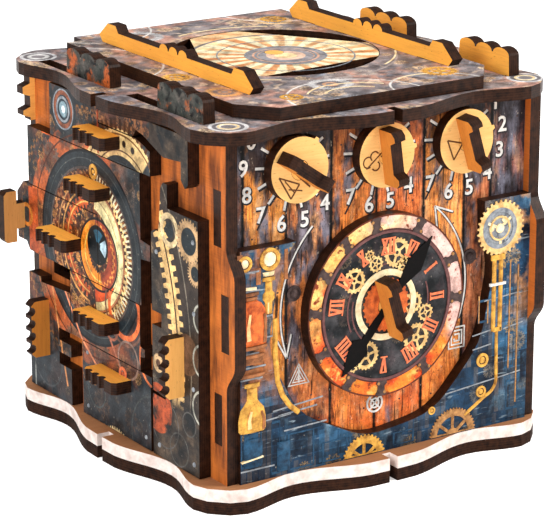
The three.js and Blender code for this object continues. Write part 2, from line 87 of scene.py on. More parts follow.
def make_studio():
    world = bpy.data.worlds.new("studio")
    world.use_nodes = True
    background = world.node_tree.nodes["Background"]
    background.inputs["Color"].default_value = (1, 1, 1, 1)
    background.inputs["Strength"].default_value = 0.27
    bpy.context.scene.world = world
    make_light("key", (0.72, -0.68, 0.68), 0.30, 14, (1, 0.97, 0.93))
    make_light("fill", (-0.9, -0.35, 0.45), 0.5, 8)
    make_light("top", (-0.1, 0.25, 1.0), 0.7, 6)
    bpy.ops.mesh.primitive_plane_add(size=8)
    floor = bpy.context.object
    floor.name = "floor"
    paint = Paint("floor_paper", 0.9)
    paint.shader.inputs["Emission Color"].default_value = (1, 1, 1, 1)
    paint.shader.inputs["Emission Strength"].default_value = 0.45
    paint.finish(paint.mix(paint.noise(0.004, 4), (0.94, 0.94, 0.94), (0.98, 0.98, 0.98)))
    floor.data.materials.append(paint.material)


# ---- paint: one procedural material each ---------------------------------------------------

X, Y, Z = Vector((1, 0, 0)), Vector((0, 1, 0)), Vector((0, 0, 1))
FRONT, LEFT, TOP = -Y, -X, Z
ACROSS = {  # the two directions in which each printed side is drawn
    "front": (X, Z, FRONT),
    "left": (Y, Z, LEFT),
    "top": (X, Y, TOP),
}


SOFT_EDGE = 0.25  # the width over which a drawn shape's edge fades
COG_SIZE = 0.46  # the largest scattered gear's radius, as a share of its cell


class Paint:
    """Builds the nodes of one material. Points are in millimetres and move with their body."""

    def __init__(self, name, roughness, side="front"):
        self.material = bpy.data.materials.new(name)
        self.material.use_nodes = True
        self.tree = self.material.node_tree
        self.shader = self.tree.nodes["Principled BSDF"]
        self.shader.inputs["Roughness"].default_value = roughness
        self.shader.inputs["Specular IOR Level"].default_value = 0.10
        self.u, self.v, self.out = ACROSS[side]
        coordinates = self.node("ShaderNodeTexCoord")
        self.normal = coordinates.outputs["Normal"]
        self.point = self.vector("MULTIPLY", coordinates.outputs["Object"], (1 / MM,) * 3)
        flat = Vector(map(abs, self.u + self.v))
        self.flat = self.vector("MULTIPLY", self.point, flat)

    def node(self, kind, *inputs, **settings):
        made = self.tree.nodes.new(kind)
        for key, value in settings.items():
            setattr(made, key, value)
        for socket, value in zip(made.inputs, inputs):
            self.feed(socket, value)
        return made

    def feed(self, socket, value):
        if isinstance(value, bpy.types.NodeSocket):
            self.tree.links.new(value, socket)
        elif socket.type == "RGBA":
            socket.default_value = (*value, 1)
        elif value is not None:
            socket.default_value = value

    def math(self, operation, *inputs, clamp=False):
        return self.node("ShaderNodeMath", *inputs, operation=operation, use_clamp=clamp).outputs[0]

    def vector(self, operation, *inputs):
        made = self.node("ShaderNodeVectorMath", *inputs, operation=operation)
        scalar = operation in ("DISTANCE", "DOT_PRODUCT", "LENGTH")
        return made.outputs["Value" if scalar else "Vector"]

    def mix(self, mask, below, above, blend="MIX"):
        made = self.node("ShaderNodeMix", data_type="RGBA", blend_type=blend)
        for socket, value in zip((made.inputs[0], made.inputs[6], made.inputs[7]), (mask, below, above)):
            self.feed(socket, value)
        return made.outputs[2]

    def lay(self, colour, mask, strength, above):
        return self.mix(self.math("MULTIPLY", mask, strength), colour, above)

    def ramp(self, value, low, high, to_low=0.0, to_high=1.0):
        return self.node("ShaderNodeMapRange", value, low, high, to_low, to_high).outputs[0]

    def noise(self, scale, detail=3.0, stretch=(1, 1, 1), rough=0.55, bend=0.0):
        """scale is in turns a millimetre."""
        made = self.node("ShaderNodeTexNoise", self.vector("MULTIPLY", self.point, stretch))
        made.inputs["Scale"].default_value = scale
        made.inputs["Detail"].default_value = detail
        made.inputs["Roughness"].default_value = rough
        made.inputs["Distortion"].default_value = bend
        return made.outputs["Fac"]

    def spots(self, scale, low, high, detail=3, **more):
        """A mask of patches, sharper the closer low is to high."""
        return self.ramp(self.noise(scale, detail, **more), low, high)

    # masks drawn on the flat side, 1 inside and 0 outside

    def at(self, u, v):
        return self.u * u + self.v * v

    def along(self, direction):
        return self.vector("DOT_PRODUCT", self.point, direction)

    def within(self, distance, limit=0.0):
        return self.ramp(distance, limit + SOFT_EDGE / 2, limit - SOFT_EDGE / 2)

    def ring(self, u, v, inner, outer):
        away = self.vector("DISTANCE", self.flat, self.at(u, v))
        off = self.math("ABSOLUTE", self.math("SUBTRACT", away, (inner + outer) / 2))
        return self.within(off, (outer - inner) / 2)

    def disc(self, u, v, radius):
        return self.ring(u, v, -radius, radius)

    def angle(self, u, v):
        up = self.math("SUBTRACT", self.along(self.v), v)
        side = self.math("SUBTRACT", self.along(self.u), u)
        return self.math("ARCTAN2", up, side)

    def gear(self, u, v, hole, radius, teeth, depth):
        turn = self.math("SINE", self.math("MULTIPLY", self.angle(u, v), teeth))
        tooth = self.ramp(turn, -0.25, 0.25, 0, depth)
        away = self.math("SUBTRACT", self.vector("DISTANCE", self.flat, self.at(u, v)), tooth)
        off = self.math("ABSOLUTE", self.math("SUBTRACT", away, (hole + radius) / 2))
        return self.within(off, (radius - hole) / 2)

    def bar(self, a, b, width):
        start, end = self.at(*a), self.at(*b)
        run = end - start
        middle = (start + end) / 2
        run_unit = run.normalized()
        across_unit = self.out.cross(run_unit)
        distances = []
        for unit, half in ((run_unit, run.length / 2), (across_unit, width / 2)):
            off = self.math("SUBTRACT", self.along(unit), middle.dot(unit))
            distances.append(self.math("SUBTRACT", self.math("ABSOLUTE", off), half))
        return self.within(self.math("MAXIMUM", *distances))

    def sector(self, u, v, low, high):
        """A pie slice between two angles in degrees."""
        middle, half = math.radians((low + high) / 2), math.radians((high - low) / 2)
        off = self.vector("DISTANCE", self.flat, self.at(u, v))
        away = self.vector("SUBTRACT", self.flat, self.at(u, v))
        direction = self.u * math.cos(middle) + self.v * math.sin(middle)
        near = self.math("DIVIDE", self.vector("DOT_PRODUCT", away, direction), off)
        return self.ramp(near, math.cos(half) - 0.01, math.cos(half) + 0.01)

    def both(self, *masks):
        made = masks[0]
        for mask in masks[1:]:
            made = self.math("MULTIPLY", made, mask)
        return made

    def cogs(self, scale, keep, shift):
        """Small gears scattered over the side: masks of their metal and of the dark behind, and a tint."""
        u = self.math("ADD", self.along(self.u), shift)
        flat = self.node("ShaderNodeCombineXYZ", u, self.along(self.v))
        cells = self.node("ShaderNodeTexVoronoi", voronoi_dimensions="2D")
        self.tree.links.new(flat.outputs[0], cells.inputs["Vector"])
        cells.inputs["Scale"].default_value = scale
        cells.inputs["Randomness"].default_value = 0.8
        away = self.vector("SUBTRACT", flat.outputs[0], cells.outputs["Position"])
        parts = self.node("ShaderNodeSeparateXYZ", away)
        dice = self.node("ShaderNodeSeparateColor", cells.outputs["Color"])
        angle = self.math("ARCTAN2", parts.outputs[1], parts.outputs[0])
        away = self.vector("LENGTH", away)
        radius = self.ramp(dice.outputs[0], 0, 1, 0.5 * COG_SIZE / scale, COG_SIZE / scale)
        count = self.math("ROUND", self.ramp(dice.outputs[1], 0, 1, 12, 26))
        waves = self.math("SINE", self.math("MULTIPLY", angle, count))
        teeth = self.ramp(waves, -0.2, 0.2, 0, 0.07 / scale)
        spokes = self.ramp(self.math("SINE", self.math("MULTIPLY", angle, 5)), 0.5, 0.62)
        share = self.math("DIVIDE", self.math("SUBTRACT", away, teeth), radius)
        here = self.math("GREATER_THAN", dice.outputs[2], 1 - keep)
        inside = self.math("LESS_THAN", share, 0.86)
        rim = self.math("GREATER_THAN", share, 0.60)
        hub = self.math("MAXIMUM", self.math("LESS_THAN", share, 0.28), spokes)
        hole = self.math("GREATER_THAN", share, 0.12)
        metal = self.both(here, inside, hole, self.math("MAXIMUM", rim, hub))
        return metal, self.both(here, inside), dice.outputs[1]

    def scatter(self, colour, scale, light, dark, keep=0.5, shift=0.0, strength=0.8):
        """Lays small gears over a colour, each between two tints."""
        metal, behind, value = self.cogs(scale, keep, shift)
        worn = self.math("MULTIPLY", metal, self.spots(0.25, 0.38, 0.50, 4))
        colour = self.lay(colour, behind, 0.55, tuple(0.35 * c for c in dark))
        return self.lay(colour, worn, strength, self.mix(value, light, dark))

    def grime(self, colour, amount=0.6):
        """Uneven wear over a whole print: dark clouds, fine specks and pale scuffs."""
        clouds = self.ramp(self.noise(0.22, 6, rough=0.68, bend=0.3), 0.30, 0.62, 1.0 - amount, 1.12)
        clouds = self.node("ShaderNodeCombineColor", clouds, clouds, clouds).outputs[0]
        colour = self.mix(1.0, colour, clouds, "MULTIPLY")
        specks = self.spots(1.6, 0.60, 0.68, 3)
        colour = self.lay(colour, specks, 0.55, (0.02, 0.015, 0.015))
        scuffs = self.spots(1.15, 0.66, 0.72, 4, stretch=(1, 1, 0.6))
        return self.lay(colour, scuffs, 0.35, (0.80, 0.68, 0.55))

    def bump(self, height, strength, distance=0.2):
        made = self.node("ShaderNodeBump")
        made.inputs["Strength"].default_value = strength
        made.inputs["Distance"].default_value = distance * MM
        self.feed(made.inputs["Height"], height)
        self.tree.links.new(made.outputs["Normal"], self.shader.inputs["Normal"])

    def finish(self, colour):
        self.feed(self.shader.inputs["Base Color"], colour)
        return self.material


# ---- plywood -------------------------------------------------------------------------------

FACE_LIMIT = 0.7  # a surface this much along the sheet's own direction is a face, not an edge
PRINT_GAMMA = {"front": 1.25, "left": 1.55, "top": 1.12}  # deepens each side's printed colours
PLY = 0.8  # one veneer of the plywood
BURNT_DARK = (0.007, 0.003, 0.002)
BURNT_BROWN = (0.042, 0.015, 0.007)
BIRCH = (0.93, 0.50, 0.13)
BIRCH_DARK = (0.62, 0.24, 0.05)


def broad_direction(node):
    """The direction that a sheet's largest faces look along, from the area of its faces."""
    areas = {}
    for face in node.data.polygons:
        n = face.normal
        key = max((1, -1), key=lambda s: tuple(round(s * c, 2) for c in n))
        unit = tuple(round(key * c, 2) + 0.0 for c in n)
        areas[unit] = areas.get(unit, 0) + face.area
    return Vector(max(areas, key=areas.get)).normalized()


def grain_stretch(node, thick):
    """Squeezes a pattern across the sheet's longest side, so that it runs along it."""
    low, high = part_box(node.name)
    lengths = [(high[i] - low[i]) * (1 - abs(thick[i])) for i in range(3)]
    longest = lengths.index(max(lengths))
    return tuple(0.06 if i == longest else 1.0 for i in range(3))


def birch(paint, stretch, light, dark):
    """Veneer: bands of slow colour, fine fibres and short dark pores."""
    bands = paint.noise(0.22, 3, stretch)
    fibres = paint.noise(1.8, 4, stretch, rough=0.7)
    pores = paint.spots(3.2, 0.66, 0.74, 2, stretch=tuple(3 * s if s < 1 else s for s in stretch))
    colour = paint.mix(paint.ramp(bands, 0.3, 0.75, 0, 0.45), light, dark)
    colour = paint.mix(paint.ramp(fibres, 0.42, 0.75, 0, 0.5), colour, dark)
    return paint.lay(colour, pores, 0.5, BURNT_BROWN), fibres


def burnt_edge(paint, thick):
    """A laser-cut edge: burnt dark, with the veneers showing as faint lines along it."""
    across = paint.along(thick)
    veneers = paint.math("SINE", paint.math("MULTIPLY", across, 2 * math.pi / PLY))
    uneven = paint.noise(0.5, 4, rough=0.65)
    shade = paint.math("MULTIPLY_ADD", veneers, 0.07, uneven)
    return paint.mix(paint.ramp(shade, 0.3, 0.75), BURNT_DARK, BURNT_BROWN)


painted = {}  # sheets of one look share one material


def plywood(node_name, printed=None, out=None, light=BIRCH, dark=BIRCH_DARK, roughness=0.55,
            side="front", edge=burnt_edge, worn=False):
    """Paints one sheet: print or birch on its face, birch behind, its edge burnt or painted."""
    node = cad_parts[node_name]
    thick = out if out is not None else broad_direction(node)
    stretch = grain_stretch(node, thick)
    node.data.materials.clear()
    look = (printed, tuple(thick), None if printed else stretch, light, dark, roughness, side, edge)
    if look in painted:
        node.data.materials.append(painted[look])
        return
    paint = Paint(node_name + "_paint", roughness, side)
    raw, fibres = birch(paint, stretch, light, dark)
    if worn:
        streaks = paint.spots(0.30, 0.43, 0.62, 6, stretch=(1, 1, 0.13), rough=0.65)
        raw = paint.lay(raw, streaks, 0.85, (0.075, 0.022, 0.010))
        glow = paint.spots(0.05, 0.50, 0.62, 4, stretch=(1, 1, 0.5))
        raw = paint.lay(raw, glow, 0.35, (0.85, 0.24, 0.04))
    facing = paint.vector("DOT_PRODUCT", paint.normal, thick)
    is_face = paint.math("GREATER_THAN", paint.math("ABSOLUTE", facing), FACE_LIMIT)
    colour = paint.mix(is_face, edge(paint, thick), raw)
    if printed:
        is_front = paint.math("GREATER_THAN", facing, FACE_LIMIT)
        deep = paint.node("ShaderNodeGamma", paint.grime(printed(paint)), PRINT_GAMMA[side]).outputs[0]
        colour = paint.mix(is_front, colour, deep)
    paint.bump(fibres, 0.35)
    painted[look] = paint.finish(colour)
    node.data.materials.append(paint.material)


# ---- prints --------------------------------------------------------------------------------

ORANGE = (0.80, 0.20, 0.05)
CREAM = (0.90, 0.72, 0.42)
SLATE = (0.060, 0.070, 0.078)
SLATE_LIGHT = (0.14, 0.155, 0.165)
NEAR_BLACK = (0.012, 0.010, 0.010)


def layers(paint, colour, *stack):
    """Lays colours in turn. Each row is one or more masks, all of which must hold, then the colour."""
    for *masks, above in stack:
        colour = paint.mix(paint.both(*masks), colour, above)
    return colour


PLANK_GAPS = [-48.5, -33.2, -17.0, -0.4, 17.3, 32.8, 43.0]
PLANK_TINTS = [(0.30, 0.16, 0.10), (0.90, 0.40, 0.10), (0.84, 0.34, 0.12), (0.95, 0.36, 0.10),
               (0.86, 0.28, 0.09), (0.98, 0.42, 0.12), (0.66, 0.28, 0.14), (0.40, 0.22, 0.20)]
PLANK_WEATHER = [0.16, -0.10, 0.06, -0.13, 0.02, -0.06, 0.16, 0.03]  # steps of greyness from plank to plank


def plank_print(paint):
    """Old planks, some orange and some weathered grey, with dark cracks and gaps."""
    x = paint.along(X)
    z = paint.along(Z)
    colour = PLANK_TINTS[0]
    greyness = PLANK_WEATHER[0]
    for gap, tint, step in zip(PLANK_GAPS, PLANK_TINTS[1:], PLANK_WEATHER[1:]):
        past = paint.math("GREATER_THAN", x, gap)
        colour = paint.mix(past, colour, tint)
        greyness = paint.math("MULTIPLY_ADD", past, step, greyness)
    stretch = (1, 1, 0.1)
    fibres = paint.noise(1.0, 6, stretch, rough=0.72, bend=0.8)
    colour = paint.mix(paint.ramp(fibres, 0.46, 0.62, 0, 0.8), colour, (0.28, 0.06, 0.02))
    pale = paint.spots(0.20, 0.54, 0.66, 5, stretch=(1, 1, 0.3))
    colour = paint.lay(colour, pale, 0.55, (0.95, 0.62, 0.36))
    patches = paint.math("ADD", paint.noise(0.07, 6, (1.5, 1, 0.5), rough=0.65), greyness)
    high = paint.ramp(z, 60, 112, 0, 0.10)
    worn = paint.ramp(paint.math("ADD", patches, high), 0.585, 0.685)
    dusk = paint.mix(paint.spots(0.3, 0.42, 0.62, 5, stretch=(1, 1, 0.3)), (0.035, 0.035, 0.045),
                     (0.23, 0.24, 0.30))
    colour = paint.lay(colour, worn, 0.92, dusk)
    cracks = paint.spots(0.8, 0.59, 0.65, 6, stretch=(1, 1, 0.08), bend=0.7)
    colour = paint.lay(colour, cracks, 0.85, (0.02, 0.012, 0.010))
    ember = paint.both(paint.ramp(z, 42, 16), paint.spots(0.12, 0.40, 0.60, 4))
    colour = paint.lay(colour, ember, 0.6, (0.80, 0.16, 0.04))
    colour = paint.mix(paint.ramp(z, 100, 114, 0, 0.75), colour, (0.03, 0.03, 0.035))
    for gap in PLANK_GAPS:
        off = paint.math("ABSOLUTE", paint.math("SUBTRACT", x, gap))
        uneven = paint.math("MULTIPLY_ADD", paint.noise(0.5, 3, (0.2, 1, 1)), 0.9, off)
        colour = paint.mix(paint.ramp(uneven, 1.35, 0.7), colour, NEAR_BLACK)
    return colour


def navy_print(paint):
    """A dark machine hall: navy walls of plates and pipes, rusty light at both sides."""
    x = paint.along(X)
    z = paint.along(Z)
    flat = paint.node("ShaderNodeCombineXYZ", x, z).outputs[0]
    panels = paint.noise(0.09, 5, (1, 1, 0.5), rough=0.6)
    colour = paint.mix(paint.ramp(panels, 0.38, 0.66), (0.016, 0.030, 0.055), (0.05, 0.15, 0.27))
    for width, high, shift, tint, strength in ((7.3, 11.0, 2.0, (0.10, 0.26, 0.42), 0.55),
                                               (2.1, 17.0, 5.0, (0.34, 0.26, 0.20), 0.40),
                                               (12.0, 2.6, 0.0, (0.012, 0.018, 0.03), 0.55)):
        bricks = paint.node("ShaderNodeTexBrick", paint.vector("ADD", flat, (shift, shift, 0)), offset=0.37)
        for name, value in (("Scale", 1.0), ("Mortar Size", 0.22), ("Mortar Smooth", 0.3),
                            ("Brick Width", width), ("Row Height", high)):
            bricks.inputs[name].default_value = value
        bricks.inputs["Color1"].default_value = (0, 0, 0, 1)
        bricks.inputs["Color2"].default_value = (1, 1, 1, 1)
        bricks.inputs["Mortar"].default_value = (0, 0, 0, 1)
        chosen = paint.ramp(bricks.outputs["Color"], 0.45, 0.8, 0, strength)
        colour = paint.mix(chosen, colour, tint)
    glow = paint.spots(0.11, 0.56, 0.70, 5, stretch=(1, 1, 0.7), bend=0.4)
    colour = paint.lay(colour, glow, 0.6, (0.24, 0.42, 0.56))
    rust = paint.both(paint.ramp(x, -30, -44), paint.spots(0.14, 0.42, 0.56, 5, stretch=(1, 1, 0.6)),
                      paint.ramp(z, 24, 42))
    colour = paint.lay(colour, rust, 0.8, (0.60, 0.24, 0.08))
    rust = paint.both(paint.ramp(x, 34, 50), paint.spots(0.12, 0.48, 0.60, 5), paint.ramp(z, 38, 52))
    colour = paint.lay(colour, rust, 0.75, (0.76, 0.42, 0.20))
    colour = paint.scatter(colour, 0.13, (0.70, 0.44, 0.16), (0.16, 0.22, 0.28), 0.22, 30, 0.6)
    streaks = paint.spots(0.7, 0.62, 0.68, 4, stretch=(0.2, 1, 1.2))
    colour = paint.lay(colour, streaks, 0.6, (0.50, 0.60, 0.66))
    drips = paint.spots(0.8, 0.62, 0.68, 4, stretch=(1.3, 1, 0.12))
    colour = paint.lay(colour, drips, 0.5, (0.008, 0.012, 0.02))
    dark = paint.ramp(z, 34, 12, 0, 0.4)
    return paint.mix(dark, colour, (0.010, 0.016, 0.030))


HUB = (9.3, 63.9)  # middle of the iris on the left face
LENS_SPOT = (9.8, 67)  # middle of its pupil
PORT = (14, 65)  # middle of the porthole round it


def slate_print(paint):
    """The left face: a porthole with toothed bands round an eye, over weathered slate and rust."""
    y = paint.along(Y)
    base = paint.mix(paint.spots(0.10, 0.40, 0.65, 5), SLATE, SLATE_LIGHT)
    rust = paint.spots(0.055, 0.50, 0.56, 5, bend=0.5)
    base = paint.lay(base, rust, 0.45, (0.42, 0.15, 0.07))
    warm = paint.both(paint.ramp(y, -10, 4), paint.ring(*PORT, 31, 39.5), paint.spots(0.09, 0.34, 0.46, 4))
    base = paint.lay(base, warm, 0.85, (0.72, 0.26, 0.10))
    mottle = paint.spots(0.28, 0.56, 0.66, 5)
    base = paint.lay(base, mottle, 0.7, (0.30, 0.20, 0.16))
    base = paint.scatter(base, 0.075, (0.60, 0.30, 0.13), (0.20, 0.20, 0.20), 0.5, 11, 0.75)
    base = paint.scatter(base, 0.17, (0.75, 0.50, 0.25), (0.30, 0.14, 0.08), 0.3, 40, 0.7)
    z = paint.along(Z)
    base = paint.mix(paint.ramp(z, 36, 20, 0, 0.72), base, (0.085, 0.100, 0.115))
    scratch = paint.spots(0.9, 0.66, 0.72, 4, stretch=(1, 1, 0.3))
    base = paint.lay(base, scratch, 0.5, (0.55, 0.55, 0.52))
    rear = paint.ramp(y, -6, 4)
    inside = paint.disc(*PORT, 26)
    deep = paint.mix(paint.spots(0.3, 0.4, 0.65, 5), (0.07, 0.055, 0.05), (0.36, 0.14, 0.07))
    deep = paint.mix(paint.spots(0.6, 0.55, 0.64, 4), deep, (0.80, 0.52, 0.25))
    deep = paint.scatter(deep, 0.20, (0.90, 0.55, 0.20), (0.50, 0.16, 0.06), 0.6, 3)
    right = paint.sector(*PORT, 95, 262)
    left = paint.sector(*PORT, -85, 85)
    fine = paint.math("SINE", paint.math("MULTIPLY", paint.angle(*PORT), 90))
    ticks = paint.both(paint.ramp(fine, 0.1, 0.5), paint.ring(*PORT, 22.6, 25.2), right)
    return layers(
        paint, base,
        (inside, deep),
        (paint.gear(*PORT, 39.4, 41.0, 72, 1.8), rear, (0.12, 0.11, 0.11)),
        (paint.ring(*PORT, 35.6, 36.2), rear, (0.22, 0.09, 0.05)),
        (paint.gear(*PORT, 43.4, 44.2, 90, 1.2), rear, (0.42, 0.24, 0.12)),
        (paint.ring(*PORT, 26, 31.5), (0.075, 0.090, 0.100)),
        (paint.ring(*PORT, 28.6, 28.9), (0.17, 0.18, 0.18)),
        (paint.ring(*PORT, 30.7, 31.5), (0.03, 0.03, 0.035)),
        (paint.ring(*PORT, 25.2, 26.0), (0.20, 0.17, 0.16)),
        (paint.gear(*PORT, 21.0, 22.4, 64, 1.1), right, CREAM),
        (ticks, (0.85, 0.80, 0.62)),
        (paint.ring(*PORT, 17.2, 19.9), right, (0.90, 0.80, 0.50)),
        (paint.ring(*PORT, 19.9, 20.6), right, (0.62, 0.33, 0.20)),
        (paint.ring(*PORT, 13.6, 17.0), paint.sector(*PORT, 100, 215), (0.93, 0.85, 0.55)),
        (paint.ring(*PORT, 12.0, 17.0), paint.sector(*PORT, 215, 262), ORANGE),
        (paint.gear(*PORT, 12.6, 15.6, 40, 1.2), left, (0.70, 0.22, 0.07)),
        (paint.ring(*PORT, 17.6, 18.3), left, (0.78, 0.48, 0.20)),
        (paint.ring(*PORT, 14.6, 15.1), left, (0.90, 0.62, 0.26)),
        (paint.gear(*PORT, 22.6, 23.6, 58, 1.0), left, (0.52, 0.28, 0.15)),
        (paint.ring(*PORT, 20.6, 21.1), left, (0.62, 0.40, 0.22)),
        (paint.gear(*HUB, 5.6, 11.4, 30, 0.5), paint.sector(*HUB, -100, 80), (0.93, 0.42, 0.08)),
        (paint.ring(*HUB, 5.6, 11.2), paint.sector(*HUB, 80, 260), (0.50, 0.15, 0.08)),
        (paint.gear(*HUB, 8.6, 9.4, 26, 0.8), paint.sector(*HUB, 80, 260), (0.85, 0.42, 0.16)),
        (paint.ring(*HUB, 11.2, 12.0), (0.030, 0.030, 0.034)),
        (paint.ring(*HUB, 8.2, 8.8), paint.sector(*HUB, -100, 80), (0.95, 0.70, 0.25)),
        (paint.disc(*LENS_SPOT, 6.4), (0.012, 0.022, 0.028)),
        (paint.ring(*LENS_SPOT, 1.6, 5.4), paint.sector(*LENS_SPOT, 150, 215), (0.66, 0.80, 0.88)),
        (paint.ring(*LENS_SPOT, 1.0, 5.0), paint.sector(*LENS_SPOT, 60, 130), (0.10, 0.24, 0.32)),
        *slate_upper(paint),
        *slate_lower(paint),
        *slate_front(paint),
        *slate_rear(paint),
    )


def slate_upper(paint):
    """A small round eye and a toothed band under the roof."""
    z = paint.along(Z)
    above = paint.ramp(z, 96.2, 96.5)
    band = (-6, 82)
    yield paint.ring(*band, -17, 25.6), above, paint.sector(*band, 20, 130), (0.80, 0.62, 0.36)
    yield paint.ring(*band, -17, 16), above, (0.09, 0.10, 0.11)
    yield paint.ring(*band, 15.2, 17.2), above, SLATE
    yield paint.ring(*band, 18.6, 19.1), above, (0.22, 0.12, 0.06)
    yield paint.ring(*band, 23.6, 24.2), above, (0.30, 0.17, 0.08)
    for turn in (52, 66, 80, 94, 108):
        yield paint.disc(*polar(*band, 21.4, turn), 1.1), above, (0.12, 0.08, 0.06)
    teeth = paint.math("SINE", paint.math("MULTIPLY", paint.angle(*band), 62))
    yield (paint.ramp(teeth, -0.2, 0.2), paint.ring(*band, 25.2, 28.8), paint.sector(*band, 50, 140),
           (0.16, 0.075, 0.035))
    for radius, tint in ((8.2, (0.10, 0.11, 0.12)), (6.4, (0.42, 0.20, 0.13)), (4.6, (0.10, 0.13, 0.15)),
                         (2.6, (0.36, 0.46, 0.50)), (1.2, (0.75, 0.82, 0.84))):
        yield paint.disc(30, 106.5, radius), tint
    yield paint.bar((42, 96), (42, 114), 5.6), (0.86, 0.27, 0.09)
    yield paint.bar((47.2, 96), (47.2, 114), 1.4), (0.10, 0.07, 0.06)
    yield paint.bar((8.4, 97), (8.4, 113), 1.0), (0.62, 0.20, 0.09)


def slate_lower(paint):
    """Pipes and curls that sweep over the lower sliders."""
    z = paint.along(Z)
    for a, b, width, tint in (
        ((32, 47), (21, 33), 0.9, (0.86, 0.42, 0.26)),
        ((21, 33), (8, 24), 0.9, (0.80, 0.40, 0.24)),
        ((40, 46), (31, 14), 0.9, (0.72, 0.40, 0.20)),
        ((3, 38), (-4, 29), 1.0, (0.62, 0.30, 0.20)),
    ):
        yield paint.bar(a, b, width), tint
    below = paint.ramp(z, 54.6, 54.0)
    for u, v, inner, outer, tint in (
        (-6, 50, 8.2, 10.0, (0.86, 0.30, 0.12)), (-6, 50, 11.0, 11.9, (0.34, 0.20, 0.15)),
        (-8, 34, 5.6, 6.4, (0.45, 0.33, 0.28)), (2, 42, 3.4, 4.3, (0.50, 0.24, 0.16)),
        (2.5, 24, 2.0, 3.6, (0.80, 0.30, 0.10)), (2.5, 24, -1.2, 1.2, (0.9, 0.6, 0.35)),
        (-24, 38, 8.2, 9.2, (0.86, 0.34, 0.16)),
    ):
        yield paint.ring(u, v, inner, outer), below, tint
    yield paint.gear(0, -3.2, -10, 12.0, 56, 0.7), (0.80, 0.66, 0.42)
    yield paint.disc(0, -3.2, 11.4), (0.30, 0.14, 0.05)
    yield paint.ring(-24, 12, 14.0, 14.6), below, (0.15, 0.16, 0.16)
    yield paint.ring(12, 18, 5.0, 5.5), below, (0.16, 0.18, 0.18)


SWEEP = (51.3, 42)  # middle of the toothed arc on the front slider


def slate_front(paint):
    """The toothed arc, oval windows and pale strip of the slider nearest the front."""
    y = paint.along(Y)
    here = paint.ramp(y, -22.4, -22.7)
    ground = paint.mix(paint.spots(0.12, 0.42, 0.62, 4), (0.045, 0.050, 0.055), (0.20, 0.155, 0.12))
    ground = paint.scatter(ground, 0.11, (0.50, 0.36, 0.22), (0.22, 0.22, 0.21), 0.35, 8, 0.6)
    yield here, ground
    sweep = paint.both(here, paint.ramp(paint.along(Z), 27, 31))
    yield paint.ring(*SWEEP, 84.2, 104), sweep, (0.12, 0.095, 0.08)
    yield paint.gear(*SWEEP, 84.2, 91.0, 170, 2.2), sweep, (0.90, 0.66, 0.36)
    yield paint.ring(*SWEEP, 88.9, 89.6), sweep, (0.10, 0.06, 0.04)
    yield paint.ring(*SWEEP, 96.5, 97.1), sweep, (0.34, 0.30, 0.25)
    yield paint.ring(-33.5, 82.5, 3.6, 5.4), here, (0.80, 0.66, 0.44)
    yield paint.disc(-33.5, 82.5, 2.4), here, (0.075, 0.095, 0.105)
    for u, v, radius in ((-44.5, 81.7, 6.2), (-48.0, 72.5, 3.4)):
        yield paint.gear(u, v, -1, radius, 26, 0.8), (0.66, 0.48, 0.30)
        yield paint.ring(u, v, -radius * 0.68, radius * 0.68), (0.065, 0.085, 0.095)
    yield paint.disc(-43, 46, 6.5), here, (0.26, 0.17, 0.12)
    for v, radius in ((59, 4.2), (46, 4.6), (31, 5.0)):
        yield paint.ring(-51.6, v, radius, radius + 0.8), (0.55, 0.54, 0.48)
    for u, v, radius in ((-38, 14, 5.0), (-30, 20, 7.5), (-44, 24, 3.5)):
        yield paint.ring(u, v, radius, radius + 0.5), (0.20, 0.19, 0.18)
    patch = paint.both(paint.disc(-26, 24, 8), paint.spots(0.2, 0.40, 0.50, 5), here)
    yield patch, (0.62, 0.20, 0.09)
    yield paint.disc(-26.2, 38.5, 3.0), here, (0.82, 0.62, 0.40)
    yield paint.disc(-26.2, 38.5, 1.3), here, (0.26, 0.16, 0.11)


def slate_rear(paint):
    """Rusty pipes over the sliders at the rear corner."""
    yield paint.bar((51.5, 54.6), (51.5, 76), 6), (0.62, 0.20, 0.08)
    yield paint.bar((56.5, 57), (56.5, 72), 4), (0.09, 0.10, 0.10)
    yield paint.ring(56, 66, 2.6, 4.0), (0.66, 0.32, 0.10)
    yield paint.bar((52.6, 8.4), (52.6, 20), 0.8), (0.45, 0.46, 0.44)
    yield paint.ring(44, 20, 9.0, 9.6), (0.15, 0.16, 0.165)


PUPIL = (2.7, -1.7)  # middle of the printed eye on the rotor


def roof_print(paint):
    """Warm grey with pink and orange clouds, and pale machine parts."""
    base = paint.mix(paint.spots(0.11, 0.40, 0.62, 4), (0.20, 0.185, 0.20), (0.34, 0.29, 0.29))
    pink = paint.spots(0.085, 0.48, 0.60, 4, bend=0.3)
    base = paint.lay(base, pink, 0.75, (0.72, 0.38, 0.28))
    pale = paint.spots(0.16, 0.58, 0.66, 4, bend=0.6)
    base = paint.lay(base, pale, 0.7, (0.85, 0.66, 0.50))
    steel = paint.spots(0.13, 0.60, 0.68, 3)
    base = paint.lay(base, steel, 0.6, (0.30, 0.36, 0.44))
    soot = paint.spots(0.18, 0.52, 0.62, 6)
    base = paint.lay(base, soot, 0.5, (0.10, 0.08, 0.085))
    base = paint.scatter(base, 0.07, (0.93, 0.62, 0.32), (0.42, 0.42, 0.46), 0.45, 20, 0.75)
    return paint.scatter(base, 0.16, (0.95, 0.75, 0.50), (0.55, 0.28, 0.16), 0.35, 71, 0.7)


